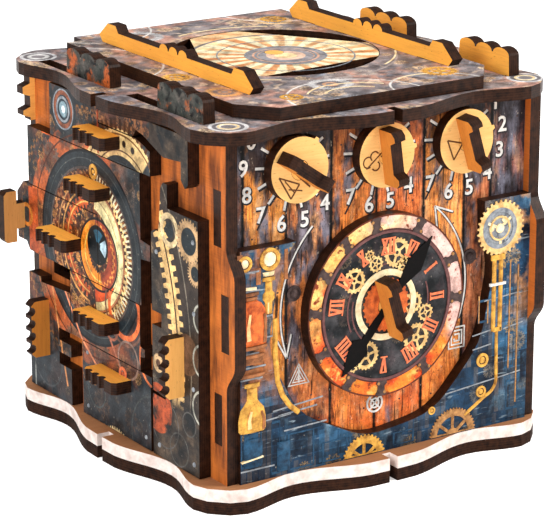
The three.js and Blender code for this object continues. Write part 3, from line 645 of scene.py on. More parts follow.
def lid_print(paint):
    stack = []
    for u, v, radius, tint in ((-42, -9, 4.6, (0.80, 0.50, 0.20)), (30, -46, 5.4, (0.86, 0.50, 0.16)),
                               (-8, -42, 6.6, (0.62, 0.60, 0.60)), (-40, -33, 5.6, (0.80, 0.45, 0.20)),
                               (28, 44, 6.0, (0.80, 0.55, 0.30)), (-22, 46, 7.0, (0.60, 0.58, 0.58)),
                               (40.5, 10, 4.0, (0.80, 0.52, 0.25)), (14, -50, 3.4, (0.75, 0.5, 0.35))):
        stack.append((paint.gear(u, v, radius * 0.62, radius, round(5 * radius), 0.6), tint))
        stack.append((paint.ring(u, v, radius * 0.2, radius * 0.38), (0.62, 0.36, 0.22)))
    for u, v, radius in ((-9, -60, 22), (20, -62, 16), (-30, 62, 18), (38, 60, 20), (-60, 20, 26)):
        stack.append((paint.ring(u, v, radius, radius + 0.7), (0.80, 0.76, 0.72)))
    stack.append((paint.ring(*PUPIL, 34.6, 35.3), (0.45, 0.38, 0.36)))
    return layers(paint, roof_print(paint), *stack)


def rotor_print(paint):
    """A sunburst of pale rays round the rings of an eye."""
    rays = paint.math("SINE", paint.math("MULTIPLY", paint.angle(*PUPIL), 22))
    uneven = paint.math("MULTIPLY_ADD", paint.noise(0.5, 3), 1.1, rays)
    sun = paint.both(paint.ramp(uneven, 0.2, 0.75), paint.ring(*PUPIL, 12, 30))
    base = paint.mix(paint.spots(0.07, 0.42, 0.6, 4), (0.72, 0.32, 0.13), (0.98, 0.76, 0.44))
    return layers(
        paint, base,
        (sun, (0.93, 0.82, 0.56)),
        (paint.ring(*PUPIL, 30, 31.2), (0.26, 0.23, 0.24)),
        (paint.ring(*PUPIL, 10.6, 13), (0.32, 0.30, 0.31)),
        (paint.ring(*PUPIL, 8.8, 10.6), (0.75, 0.45, 0.33)),
        (paint.ring(*PUPIL, 6.2, 8.8), (0.36, 0.34, 0.36)),
        (paint.ring(*PUPIL, 3.6, 6.2), (0.80, 0.55, 0.42)),
    )


def roof_plate_print(paint):
    stack = []
    for u, v in ((-53, -55.5), (57.4, -54), (-55, 55), (55, 55)):
        for radius, tint in ((6.0, (0.70, 0.68, 0.68)), (4.8, (0.22, 0.20, 0.21)), (3.6, (0.80, 0.78, 0.76)),
                             (2.2, (0.30, 0.27, 0.28))):
            stack.append((paint.disc(u, v, radius), tint))
    return layers(paint, roof_print(paint), *stack)


DIAL = (1.0, 55.3)
DIAL_RIM = 29.0
DIAL_FACE = 23.6


def dial_print(paint):
    """A dark clock face in a painted iron ring."""
    face = paint.mix(paint.spots(0.16, 0.40, 0.66, 5), (0.020, 0.024, 0.027), (0.105, 0.100, 0.105))
    face = paint.scatter(face, 0.14, (0.30, 0.22, 0.14), (0.10, 0.09, 0.09), 0.5, 5, 0.5)
    z = paint.along(Z)
    x = paint.along(X)
    hot = paint.mix(paint.spots(0.12, 0.40, 0.62, 4), (0.80, 0.13, 0.035), (0.93, 0.36, 0.06))
    yellow = paint.spots(0.17, 0.55, 0.62, 4)
    hot = paint.mix(yellow, hot, (0.90, 0.52, 0.16))
    corner = paint.math("ADD", x, z)
    pink = paint.ramp(paint.math("MULTIPLY_ADD", paint.noise(0.15, 3), 30, corner), 78, 88)
    hot = paint.mix(pink, hot, (0.82, 0.56, 0.50))
    left_up = paint.math("SUBTRACT", z, x)
    gilt = paint.both(paint.ramp(left_up, 66, 84), paint.spots(0.15, 0.36, 0.5, 4))
    hot = paint.lay(hot, gilt, 0.8, (0.95, 0.66, 0.26))
    hot = paint.mix(paint.spots(0.3, 0.58, 0.66, 5), hot, (0.30, 0.07, 0.03))
    cloud = paint.both(paint.ring(*DIAL, -12, 22), paint.spots(0.2, 0.5, 0.65, 4))
    return layers(
        paint, face,
        (paint.math("MULTIPLY", cloud, 0.35), (0.16, 0.11, 0.12)),
        (paint.ring(*DIAL, DIAL_FACE, DIAL_RIM + 1), hot),
        (paint.ring(*DIAL, DIAL_FACE - 0.1, DIAL_FACE + 0.75), (0.13, 0.055, 0.055)),
        (paint.ring(*DIAL, DIAL_RIM - 0.6, DIAL_RIM + 1), (0.20, 0.06, 0.03)),
    )


# ---- the sheets ----------------------------------------------------------------------------

PALE_BIRCH = (0.86, 0.52, 0.19)
PALE_BIRCH_DARK = (0.64, 0.31, 0.08)
AMBER = (0.58, 0.21, 0.035)
AMBER_DARK = (0.30, 0.09, 0.018)
BAR_BIRCH = (0.98, 0.46, 0.07)
BROWN_PLY = (0.42, 0.19, 0.085)
BROWN_PLY_DARK = (0.24, 0.10, 0.045)
ORANGE_PLY = (0.52, 0.135, 0.025)
ORANGE_PLY_DARK = (0.20, 0.055, 0.014)


def white_edge(paint, thick):
    """Pale paint over the cut edge, with faint smudges."""
    smudge = paint.ramp(paint.noise(0.25, 4, rough=0.6), 0.4, 0.75)
    return paint.mix(smudge, (0.78, 0.68, 0.63), (0.50, 0.38, 0.33))


def paint_sheets():
    plywood("base_lower_plate", light=(0.05, 0.022, 0.014), dark=(0.018, 0.009, 0.006), roughness=0.8)
    plywood("base_upper_plate", light=BROWN_PLY, dark=BROWN_PLY_DARK, roughness=0.6, edge=white_edge)
    for name in ("left_wall", "right_wall", "back_wall"):
        plywood(name, light=ORANGE_PLY, dark=ORANGE_PLY_DARK, worn=True)
    for side in ("front", "back", "left", "right", "floor"):
        plywood("compartment_" + side)
    plywood("front_panel", plank_print, FRONT, roughness=0.42)
    plywood("front_overlay", navy_print, FRONT, roughness=0.38)
    for name in ("left_top_trim", *("slider_" + letter for letter in "abcdefg")):
        plywood(name, slate_print, LEFT, side="left", roughness=0.4)
    for name in ("roof_grip_left_near", "roof_grip_left_far"):
        plywood(name, grip_print, LEFT, side="left", roughness=0.4)
    plywood("right_outer_panel", side_print, X, side="left", light=ORANGE_PLY,
            dark=ORANGE_PLY_DARK, roughness=0.4)
    plywood("back_outer_panel", side_print, Y, roughness=0.4)
    plywood("roof_plate", roof_plate_print, TOP, side="top", roughness=0.4)
    plywood("lid_plate", lid_print, TOP, side="top", roughness=0.4)
    plywood("rotor", rotor_print, TOP, side="top", roughness=0.4)
    plywood("lid_ring", light=BROWN_PLY_DARK, dark=BURNT_DARK)
    plywood("rotor_pin")
    for side in ("left", "right"):
        plywood("lid_bar_" + side, light=BAR_BIRCH, dark=(0.70, 0.27, 0.05))
    for name in ("roof_grip_right_near", "roof_grip_right_far"):
        plywood(name, light=BAR_BIRCH, dark=(0.62, 0.25, 0.06))
    for letter in "abcde":
        plywood(f"slider_{letter}_grip", light=BAR_BIRCH, dark=(0.66, 0.25, 0.05))
    plywood("slider_f_grip", light=(0.52, 0.19, 0.03), dark=(0.30, 0.10, 0.02))
    plywood("slider_g_grip", light=(0.90, 0.46, 0.13), dark=(0.66, 0.27, 0.06))
    plywood("slider_c_pull", light=(0.62, 0.30, 0.09), dark=(0.40, 0.17, 0.05))
    plywood("dial_disc", dial_print, FRONT, roughness=0.38)
    for name in ("knob_1", "knob_2", "knob_3"):
        plywood(name + "_disc", light=PALE_BIRCH, dark=PALE_BIRCH_DARK, roughness=0.5)
    for name in ("knob_1", "knob_2", "knob_3", "dial"):
        plywood(name + "_grip", light=AMBER, dark=AMBER_DARK)
        plywood(name + "_axle")
        plywood(name + "_cam")


def grip_print(paint):
    """Slate with patches of rust."""
    base = paint.mix(paint.spots(0.16, 0.42, 0.6, 4), (0.10, 0.11, 0.10), (0.22, 0.20, 0.18))
    base = paint.mix(paint.spots(0.13, 0.50, 0.58, 4), base, (0.60, 0.22, 0.08))
    return paint.mix(paint.spots(0.35, 0.56, 0.64, 5), base, (0.03, 0.028, 0.028))


def side_print(paint):
    """The unseen sides: dark slate panels, rust and large quiet gears."""
    u = paint.along(paint.u)
    base = paint.mix(paint.spots(0.07, 0.40, 0.65, 5), SLATE, SLATE_LIGHT)
    rust = paint.spots(0.05, 0.50, 0.60, 5, bend=0.4)
    base = paint.lay(base, rust, 0.7, (0.42, 0.14, 0.06))
    seams = paint.math("PINGPONG", u, 19)
    base = paint.mix(paint.ramp(seams, 0.7, 0.2), base, NEAR_BLACK)
    base = paint.scatter(base, 0.06, (0.60, 0.34, 0.16), (0.22, 0.22, 0.23), 0.5, 17, 0.7)
    base = paint.scatter(base, 0.15, (0.70, 0.46, 0.22), (0.30, 0.14, 0.08), 0.3, 55, 0.7)
    stack = []
    for a, b, radius, tint in ((8, 62, 30, (0.62, 0.40, 0.20)), (-30, 30, 15, (0.55, 0.28, 0.12)),
                               (34, 26, 12, (0.40, 0.40, 0.40)), (-32, 92, 13, (0.55, 0.36, 0.18)),
                               (40, 96, 10, (0.50, 0.22, 0.10))):
        stack.append((paint.gear(a, b, radius * 0.74, radius, round(2.4 * radius), 0.05 * radius), tint))
        stack.append((paint.ring(a, b, radius * 0.50, radius * 0.58), (0.30, 0.31, 0.32)))
        stack.append((paint.ring(a, b, -radius * 0.2, radius * 0.2), tint))
    return layers(paint, base, *stack)


# ---- raised print: shapes drawn flat in two coordinates --------------------------------------


def polar(u, v, radius, turn):
    """The point at a radius and an angle in degrees from (u, v)."""
    a = math.radians(turn)
    return u + radius * math.cos(a), v + radius * math.sin(a)


def arc(u, v, radius, start, end, steps=24):
    """Points along an arc, with its ends."""
    return [polar(u, v, radius, start + (end - start) * i / steps) for i in range(steps + 1)]


def circle(u, v, radius, steps=36):
    return arc(u, v, radius, 0, 360, steps)[:-1]


def ring(u, v, inner, outer, steps=48):
    return [circle(u, v, outer, steps), circle(u, v, inner, steps)[::-1]]


def box(u0, u1, v0, v1):
    return [(u0, v0), (u1, v0), (u1, v1), (u0, v1)]


def placed(points, u, v, turn=0.0):
    c, s = math.cos(math.radians(turn)), math.sin(math.radians(turn))
    return [(u + c * x - s * y, v + s * x + c * y) for x, y in points]


def cog(u, v, radius, teeth, depth, turn=0.0):
    """The outline of a toothed wheel, with flat-topped teeth."""
    points = []
    for i in range(teeth):
        for share, r in ((0.0, radius), (0.12, radius + depth), (0.42, radius + depth), (0.54, radius)):
            points.append(polar(u, v, r, turn + 360 * (i + share) / teeth))
    return points


def wheel(u, v, radius, teeth, depth, rim, spokes, hub, turn=0.0):
    """A gear with windows between its spokes, as its outline and holes."""
    loops = [cog(u, v, radius, teeth, depth, turn)]
    inner = radius - rim
    for i in range(spokes):
        middle = turn + 360 * (i + 0.5) / spokes
        half = 180 / spokes
        far = half - math.degrees(0.09 * radius / inner)
        near = half - math.degrees(0.09 * radius / hub)
        near = max(near, 2)
        window = arc(u, v, inner, middle - far, middle + far, 8)
        window += arc(u, v, hub, middle + near, middle - near, 4)
        loops.append(window[::-1])
    loops.append(circle(u, v, hub * 0.45, 12)[::-1])
    return loops


def ribbon(points, width, taper=1.0):
    """A line of even width, or one that narrows to taper times its width."""
    left, right = [], []
    last = len(points) - 1
    for i, (x, y) in enumerate(points):
        before, after = points[max(i - 1, 0)], points[min(i + 1, last)]
        dx, dy = after[0] - before[0], after[1] - before[1]
        half = 0.5 * width * (1 + (taper - 1) * i / last) / math.hypot(dx, dy)
        left.append((x - dy * half, y + dx * half))
        right.append((x + dy * half, y - dx * half))
    return left + right[::-1]


def outline(points, width):
    """A band just inside a convex closed outline."""
    cu = sum(p[0] for p in points) / len(points)
    cv = sum(p[1] for p in points) / len(points)
    reach = min(math.hypot(x - cu, y - cv) for x, y in points)
    k = 1 - width / reach
    return [points, [(cu + (x - cu) * k, cv + (y - cv) * k) for x, y in points][::-1]]


def above_line(points, floor):
    """The part of an outline over a level."""
    kept = []
    for (x0, y0), (x1, y1) in zip(points, points[1:] + points[:1]):
        if y0 >= floor:
            kept.append((x0, y0))
        if (y0 >= floor) != (y1 >= floor):
            t = (floor - y0) / (y1 - y0)
            kept.append((x0 + t * (x1 - x0), floor))
    return kept


SHEETS = {  # that carry raised print: side, the distance of their outer face from the origin, slot
    "panel": ("front", 56.0, "plank_print"),
    "overlay": ("front", 60.0, "navy_print"),
    "dial": ("front", 60.1, "dial_print"),
    "knob": ("front", 60.1, "pale_ply"),
    "slider": ("left", 60.1, "slate_print"),
    "lid": ("top", 122.1, "roof_print"),
    "rotor": ("top", 122.0, "roof_print"),
    "roof": ("top", 118.0, "roof_print"),
}
ROOT = -0.05  # raised print starts this far inside its sheet


class Relief:
    """One piece of raised print on a sheet, made of closed flat shapes."""

    every = []

    def __init__(self, name, sheet, ink, body="box"):
        self.name, self.body, self.ink = name, body, INKS[ink]
        side, self.level, self.slot = SHEETS[sheet]
        self.u, self.v, self.out = ACROSS[side]
        self.mesh = bmesh.new()
        Relief.every.append(self)

    def point(self, u, v, high):
        return (self.u * u + self.v * v + self.out * (self.level + high)) * MM

    def shape(self, loops, high, low=ROOT):
        if not isinstance(loops[0], list):
            loops = [loops]
        flat = [[Vector((u, v, 0)) for u, v in loop] for loop in loops]
        every = [p for loop in flat for p in loop]
        tops = [self.mesh.verts.new(self.point(p.x, p.y, high)) for p in every]
        feet = [self.mesh.verts.new(self.point(p.x, p.y, low)) for p in every]
        for a, b, c in geometry.tessellate_polygon(flat):
            self.mesh.faces.new((tops[a], tops[b], tops[c]))
            self.mesh.faces.new((feet[c], feet[b], feet[a]))
        start = 0
        for loop in loops:
            for i in range(len(loop)):
                a, b = start + i, start + (i + 1) % len(loop)
                self.mesh.faces.new((tops[a], feet[a], feet[b], tops[b]))
            start += len(loop)
        return self

    def line(self, points, width, high, low=ROOT, taper=1.0):
        return self.shape(ribbon(points, width, taper), high, low)

    def dome(self, u, v, radius, high, steps=14, rows=4):
        """A low round head."""
        rings = []
        for k in range(rows):
            a = 0.5 * math.pi * k / rows
            level = high * math.sin(a)
            rings.append([self.mesh.verts.new(self.point(x, y, level))
                          for x, y in circle(u, v, radius * math.cos(a), steps)])
        foot = [self.mesh.verts.new(self.point(x, y, ROOT)) for x, y in circle(u, v, radius, steps)]
        rings.insert(0, foot)
        for low, up in zip(rings, rings[1:]):
            for i in range(steps):
                j = (i + 1) % steps
                self.mesh.faces.new((low[i], low[j], up[j], up[i]))
        self.mesh.faces.new(rings[-1])
        self.mesh.faces.new(foot[::-1])

    def tube(self, points, width, high=0.5):
        """A half-round pipe, as three narrowing steps."""
        for share, rise in ((1.0, 0.45), (0.7, 0.8), (0.35, 1.0)):
            self.line(points, width * share, high * rise)

    def vessel(self, u, profile, bulge=0.2, steps=12):
        """A half-round vessel standing on the side: profile is (v, half width) from its foot up."""
        rows = []
        angles = [math.pi * i / steps for i in range(steps + 1)]
        for v, half in profile:
            points = [self.point(u + half * math.cos(a), v, bulge * half * math.sin(a)) for a in angles]
            rows.append([self.mesh.verts.new(point) for point in points])
        for low, up in zip(rows, rows[1:]):
            for i in range(steps):
                face = self.mesh.faces.new((low[i], low[i + 1], up[i + 1], up[i]))
                face.smooth = True
            self.mesh.faces.new((low[0], up[0], up[-1], low[-1]))
        self.mesh.faces.new(rows[0][::-1])
        self.mesh.faces.new(rows[-1])

    def text(self, letters, u, v, size, high=0.15, fatten=0.0):
        curve = bpy.data.curves.new("letters", "FONT")
        curve.body = letters
        curve.size = size
        curve.align_x, curve.align_y = "CENTER", "CENTER"
        curve.extrude = 0.5
        curve.offset = fatten
        curve.resolution_u = 3
        holder = bpy.data.objects.new("letters", curve)
        bpy.context.scene.collection.objects.link(holder)
        made = bpy.data.meshes.new_from_object(holder.evaluated_get(bpy.context.evaluated_depsgraph_get()))
        verts = [self.mesh.verts.new(self.point(u + p.co.x, v + p.co.y, high if p.co.z > 0 else ROOT))
                 for p in made.vertices]
        for face in made.polygons:
            self.mesh.faces.new([verts[i] for i in face.vertices])
        bpy.data.objects.remove(holder)
        bpy.data.meshes.remove(made)
        bpy.data.curves.remove(curve)

    def done(self):
        bmesh.ops.remove_doubles(self.mesh, verts=self.mesh.verts, dist=1e-7)
        bmesh.ops.recalc_face_normals(self.mesh, faces=self.mesh.faces)
        data = bpy.data.meshes.new(self.name)
        self.mesh.to_mesh(data)
        self.mesh.free()
        piece = bpy.data.objects.new(self.name, data)
        bpy.context.scene.collection.objects.link(piece)
        data.materials.append(self.ink)
        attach(piece, self.body)


def ink(name, light, dark, scale=0.5, roughness=0.5):
    """Mottled print ink or paint of two tints."""
    paint = Paint(name, roughness)
    mottle = paint.noise(scale, 5, rough=0.65)
    colour = paint.mix(paint.ramp(mottle, 0.35, 0.7), light, dark)
    grit = paint.spots(2.6, 0.60, 0.70, 2)
    colour = paint.lay(colour, grit, 0.35, tuple(0.4 * c for c in dark))
    paint.bump(mottle, 0.3, 0.1)
    return paint.finish(colour)


# ---- raised print: the front ---------------------------------------------------------------

KNOBS = [(-31.0, 102.8), (0.5, 102.8), (30.4, 102.8)]
SHOWN_DIGITS = ["4567890", "4567", "1234567"]
FIRST_DIGIT = 35.0
DIGIT_STEP = -27.6
DIGIT_RINGS = [17.4, 16.4, 16.8]
DIGIT_SIZE = 6.9
TICK_RADII = (9.6, 13.2)
PANEL_TOP = 113.0
PANEL_HALF = 54.0


def on_panel(u, v):
    return abs(u) < PANEL_HALF and v < PANEL_TOP


INKS = {name: ink(name + "_ink", *look) for name, *look in (  # two tints, mottle's scale, roughness
    ("chalk", (0.72, 0.69, 0.64), (0.40, 0.38, 0.37)),
    ("shade", (0.030, 0.025, 0.028), (0.008, 0.007, 0.008)),
    ("iron", (0.085, 0.055, 0.050), (0.025, 0.016, 0.016)),
    ("cream", (0.84, 0.60, 0.26), (0.42, 0.22, 0.07), 0.35),
    ("ivory", (0.90, 0.78, 0.52), (0.62, 0.42, 0.20), 0.3),
    ("gold", (0.80, 0.43, 0.08), (0.22, 0.09, 0.02), 0.4),
    ("copper", (0.80, 0.22, 0.09), (0.48, 0.10, 0.05), 0.6),
    ("ember", (0.80, 0.18, 0.04), (0.22, 0.035, 0.015), 0.35),
    ("plum", (0.16, 0.07, 0.065), (0.09, 0.035, 0.035)),
    ("soot", (0.004, 0.003, 0.003), (0.002, 0.002, 0.002), 0.5, 0.8),
    ("steel", (0.32, 0.34, 0.36), (0.09, 0.10, 0.12), 0.4),
    ("sea", (0.025, 0.085, 0.16), (0.010, 0.020, 0.038), 0.5),
    # rust, also used for the painted shade down the vessels
    ("rust", (0.42, 0.16, 0.06), (0.10, 0.04, 0.02), 0.35),
    # ink for the painted highlights on the vessels
    ("flame", (0.98, 0.66, 0.30), (0.90, 0.36, 0.14), 0.4),
    ("bronze", (0.50, 0.25, 0.09), (0.13, 0.055, 0.02), 0.5),
    ("scorch", (0.16, 0.06, 0.02), (0.06, 0.025, 0.012), 1.0),
)}


def make_front_marks():
    ticks = Relief("knob_ticks", "panel", "chalk")
    digits = Relief("knob_digits", "panel", "chalk")
    shades = Relief("knob_digit_shades", "panel", "shade")
    for (x, z), shown, ring_radius in zip(KNOBS, SHOWN_DIGITS, DIGIT_RINGS):
        for i, digit in enumerate("1234567890"):
            turn = FIRST_DIGIT + DIGIT_STEP * i
            line = [polar(x, z, radius, turn) for radius in TICK_RADII]
            if on_panel(*line[1]):
                ticks.line(line, 0.8, 0.15)
                shades.line([(p + 0.35, q - 0.5) for p, q in line], 1.2, 0.08)
            if digit in shown:
                u, v = polar(x, z, ring_radius, turn)
                digits.text(digit, u, v, DIGIT_SIZE, 0.2, 0.12)
                shades.text(digit, u + 0.25, v - 0.3, DIGIT_SIZE, 0.1, 0.42)
    for x, z in KNOBS:
        shades.line([(x - 8.0, z - 8.5), (x - 9.6, z - 13.0), (x - 12.5, z - 17.5)], 0.5, 0.12)
    make_arrows()
    make_symbols()
    make_nails()


BOW = (1.0, 57.0)  # middle of the two long arrows


def make_arrows():
    arrows = Relief("turn_arrows", "panel", "chalk")
    shades = Relief("turn_arrow_shades", "panel", "shade")
    left = [*arc(*BOW, 36.3, 133, 189, 26), (-34.3, 48.6), (-33.2, 44.4)]
    right = arc(*BOW, 32.8, -22, 50, 26)
    heads = [[(-36.6, 49.8), (-33.1, 43.6), (-31.4, 51.0)], [(22.6, 75.0), (21.6, 82.6), (28.6, 79.8)]]
    for line in (left, right):
        arrows.line(line, 0.5, 0.2)
        shades.line([(u + 0.35, v - 0.25) for u, v in line], 0.8, 0.1)
    for head in heads:
        for a, b in zip(head, head[1:]):
            arrows.line([a, b], 0.55, 0.22)
            shades.line([(u + 0.3, v - 0.3) for u, v in (a, b)], 0.9, 0.12)


def make_symbols():
    signs = Relief("panel_symbols", "panel", "chalk")
    u, v = -28.6, 36.6
    for size in (4.6, 2.9, 1.3):
        corners = [polar(u, v, size, turn) for turn in (90, 210, 330)]
        signs.shape(outline(corners, 0.6 if size > 2 else 0.5), 0.2)
    signs.line([(u, v - 1.6), (u, v + 3.4)], 0.5, 0.24)
    u, v = 30.9, 38.4
    for k in range(3):
        side = 4.0 - 1.35 * k
        path = [(-side, side), (side, side), (side, -side), (-side, -side), (-side, side - 1.6)]
        signs.line([(u + x * 0.75, v + y * 0.85) for x, y in path], 0.6, 0.2 + 0.02 * k)
    u, v = -0.3, 22.8
    signs.shape(ring(u, v, 2.5, 3.1), 0.2).shape(ring(u, v, 1.2, 1.75), 0.2)
    for turn in (45, 135, 225, 315):
        signs.shape(placed(box(0.2, 2.6, -0.25, 0.25), u, v, turn), 0.24)


PLANK_MIDDLES = [-40.8, -25.1, -8.7, 8.5, 25.0, 37.9, 49.5]


def make_nails():
    """Nail heads along the planks, and two large bolts beside the dial."""
    nails = Relief("plank_nails", "panel", "iron")
    for k, u in enumerate(PLANK_MIDDLES):
        for step in range(9):
            v = 22 + 10.4 * step + 2.3 * math.sin(3.1 * k + 1.7 * step)
            off = 4.8 * math.sin(1.9 * step + k)
            if math.hypot(u + off - DIAL[0], v - DIAL[1]) > 30.5 and on_panel(u + off, v):
                nails.dome(u + off, v, 0.34, 0.22, 8, 2)
    for u, v in ((-30.4, 63.6), (35.4, 64.2)):
        nails.shape(circle(u, v, 2.5), 0.25)
        nails.dome(u, v, 1.6, 1.1)


CLAMPS = [99, 63, 24, -4, -57, -94, -122, -154, 176, 150, 125]
NUMERALS = {"XII": 89, "VI": 61, "I": 30, "II": 0, "III": -29, "IIII": -62, "V": -93,
            "VIII": -144, "VII": 172, "IX": 147, "X": 119}
WIDTHS = {"I": 1.35, "V": 2.7, "X": 2.7}
NUMERAL_HIGH = 4.9
NUMERAL_RADIUS = 18.9
CLAMP_RADIUS = 26.2


def roman(relief, letters, u, v, turn, high):
    """Roman numerals with thin serifs, feet towards the middle of the dial."""
    total = sum(WIDTHS[c] for c in letters)
    x = -total / 2
    half = NUMERAL_HIGH / 2
    for k, c in enumerate(letters):
        w = WIDTHS[c]
        middle = x + w / 2
        strokes = {"I": [(0, 0)], "V": [(-0.9, 0), (0.9, 0)], "X": [(-0.9, 0.9), (0.9, -0.9)]}[c]
        for n, (top, foot) in enumerate(strokes):
            line = [(middle + foot, -half), (middle + top, half)]
            relief.line(placed(line, u, v, turn), 0.78, high + 0.015 * n + 0.004 * k)
        x += w
    for y in (-half, half):
        serif = [(-total / 2 + 0.1, y), (total / 2 - 0.1, y)]
        relief.line(placed(serif, u, v, turn), 0.4, high + 0.04)


DIAL_WHEELS = [(-3.2, 69.2, 2.3, 5), (-5.6, 72.2, 1.5, 4), (4.6, 71.6, 4.4, 5), (-11.2, 65.2, 3.7, 5),
               (12.2, 43.0, 4.4, 5), (-6.6, 40.6, 4.3, 5), (15.6, 50.6, 2.5, 4), (10.6, 54.6, 3.2, 5),
               (6.6, 67.6, 1.8, 4), (-11.6, 38.0, 1.8, 4)]


def make_dial_face():
    u, v = DIAL
    clamps = Relief("dial_clamps", "dial", "iron", "dial")
    heads = Relief("dial_clamp_rivets", "dial", "bronze", "dial")
    for a in CLAMPS:
        plate = [(-1.5, -2.8), (1.4, -2.8), (2.0, -1.4), (1.2, -0.4), (1.4, 1.2), (2.0, 2.0), (1.0, 2.6),
                 (-1.1, 2.6), (-2.1, 1.9), (-1.3, 1.0), (-1.2, -0.5), (-2.0, -1.5)]
        clamps.shape(placed(plate, *polar(u, v, CLAMP_RADIUS, a), a - 90), 0.3)
        for off, high in ((-2.7, 24.9), (2.7, 27.7)):
            heads.dome(*polar(u, v, high, a + off), 0.6, 0.65, 10, 3)
    rim = Relief("dial_face_rim", "dial", "plum", "dial")
    rim.shape(ring(u, v, DIAL_FACE - 0.5, DIAL_FACE + 0.3, 72), 0.35)
    for radius, start, end in ((14.6, 150, 205), (12.9, 165, 235), (15.5, -20, 20), (13.4, 60, 100)):
        rim.line(arc(u, v, radius, start, end), 0.5, 0.1)
    figures = Relief("dial_numerals", "dial", "copper", "dial")
    for letters, a in NUMERALS.items():
        roman(figures, letters, *polar(u, v, NUMERAL_RADIUS, a), a - 90, 0.2)
    gears = Relief("dial_gears", "dial", "cream", "dial")
    for k, (x, z, radius, spokes) in enumerate(DIAL_WHEELS):
        teeth = max(9, round(radius * 5))
        gears.shape(wheel(x, z, radius, teeth, 0.35, 0.26 * radius, spokes, 0.3 * radius, 17 * k), 0.12)
    hub = Relief("dial_hub_ring", "dial", "ivory", "dial")
    hub.shape(ring(u - 0.4, v + 0.4, 9.3, 11.3), 0.26)
    core = Relief("dial_hub", "dial", "ember", "dial")
    core.shape([cog(u - 0.4, v + 0.4, 8.0, 26, 0.5), circle(u, v, 3.4, 20)[::-1]], 0.22)
    make_hand()


HAND_TURN = -40


def make_hand():
    """A double spear, long blade up and barbed blade down."""
    u, v = DIAL
    up = [(0.9, 0), (1.3, 8), (3.6, 15.2), (2.6, 18.6), (0.2, 25.6), (-2.3, 18.2), (-2.7, 14.6), (-1.2, 8)]
    down = [(-0.9, 0), (-1.5, -8), (-1.3, -13.0), (-3.9, -15.2), (-3.1, -19.0), (0.0, -26.0), (2.6, -19.6),
            (3.4, -15.4), (1.5, -13.4), (1.6, -8)]
    hand = Relief("dial_hand", "dial", "soot", "dial")
    hand.shape(placed(up + down, u, v, HAND_TURN), 0.45)


# ---- raised print: the overlay ---------------------------------------------------------------

GAUGE = (44.3, 73.0)
OVERLAY_FOOT = 8.4


def overlay(name, ink):
    return Relief("overlay_" + name, "overlay", ink)


def make_overlay_machines():
    u, v = GAUGE
    gauge = overlay("gauge_gear", "cream")
    gauge.shape([cog(u, v, 8.3, 30, 0.8, 4), circle(u - 0.4, v, 6.2)[::-1]], 0.3)
    gauge.shape(ring(u - 0.4, v, 3.4, 4.0), 0.46)
    dial = overlay("gauge_ring", "steel")
    dial.shape(ring(u - 0.4, v, 5.2, 6.6), 0.4)
    dial.shape([circle(u - 0.4, v, 5.2)], 0.08)
    dial.shape(cog(u + 1.4, v - 1.8, 2.2, 12, 0.4), 0.42)
    spokes = overlay("gauge_spokes", "ivory")
    spokes.shape(circle(u - 0.4, v, 1.5, 20), 0.5)
    for turn in (35, 155, 275):
        spokes.shape(placed(box(0.9, 5.3, -0.45, 0.45), u - 0.4, v, turn), 0.32)
        spokes.shape(placed(circle(3.2, 0, 1.0, 14), u - 0.4, v, turn + 20), 0.28)
    make_right_pipes()
    make_bottom_gears()
    make_left_vessels()


def make_right_pipes():
    pipes = overlay("gold_pipes", "gold")
    for x in (42.2, 44.8):
        pipes.tube([(x, 64.6), (x, 39.5)], 1.5, 0.5)
    bend = arc(38.9, 23.5, 5.0, 0, -75, 8)
    pipes.tube([(43.6, 40.5), (43.9, 24), *bend, (35.0, 15.6), (31.5, 13.6)], 1.1, 0.4)
    pipes.shape(box(40.9, 46.1, 62.8, 64.4), 0.55)
    pipes.shape(box(42.2, 45.2, 39.2, 40.6), 0.5)
    for x, z, radius in ((38.3, 30.6, 2.3), (38.0, 20.2, 1.9), (18.8, 17.6, 1.3)):
        pipes.shape(ring(x, z, radius * 0.62, radius, 24), 0.3)
        pipes.dome(x, z, radius * 0.5, 0.4, 12, 3)
    clips = overlay("pipe_clips", "chalk")
    clips.line([(40.4, 54.9), (46.6, 54.9)], 0.9, 0.62)
    wires = overlay("right_wires", "steel")
    for a, b in (((34.2, 39.2), (42.6, 40.2)), ((34.4, 34.6), (41.6, 35.4)), ((46.0, 39.5), (54.0, 40.6)),
                 ((24.0, 22.0), (53.5, 24.4)), ((38.5, 50.0), (53.6, 50.8))):
        wires.line([a, b], 0.4, 0.12)
    tanks = overlay("right_tanks", "sea")
    for u0, u1, v0, v1 in ((46.9, 50.2, 43, 61), (36.2, 40.4, 43, 50.5), (47.2, 50.6, 26, 38),
                           (48, 52.5, 12, 22)):
        tanks.shape(outline(box(u0, u1, v0, v1), 0.8), 0.1)
    rails = overlay("right_rails", "bronze")
    for u0, v0, u1, v1 in ((48.6, 62, 48.6, 26), (51.8, 60, 51.8, 14), (36.5, 52, 36.5, 43),
                           (40.0, 50, 40.0, 42.5)):
        rails.line([(u0, v0), (u1, v1)], 0.45, 0.16)


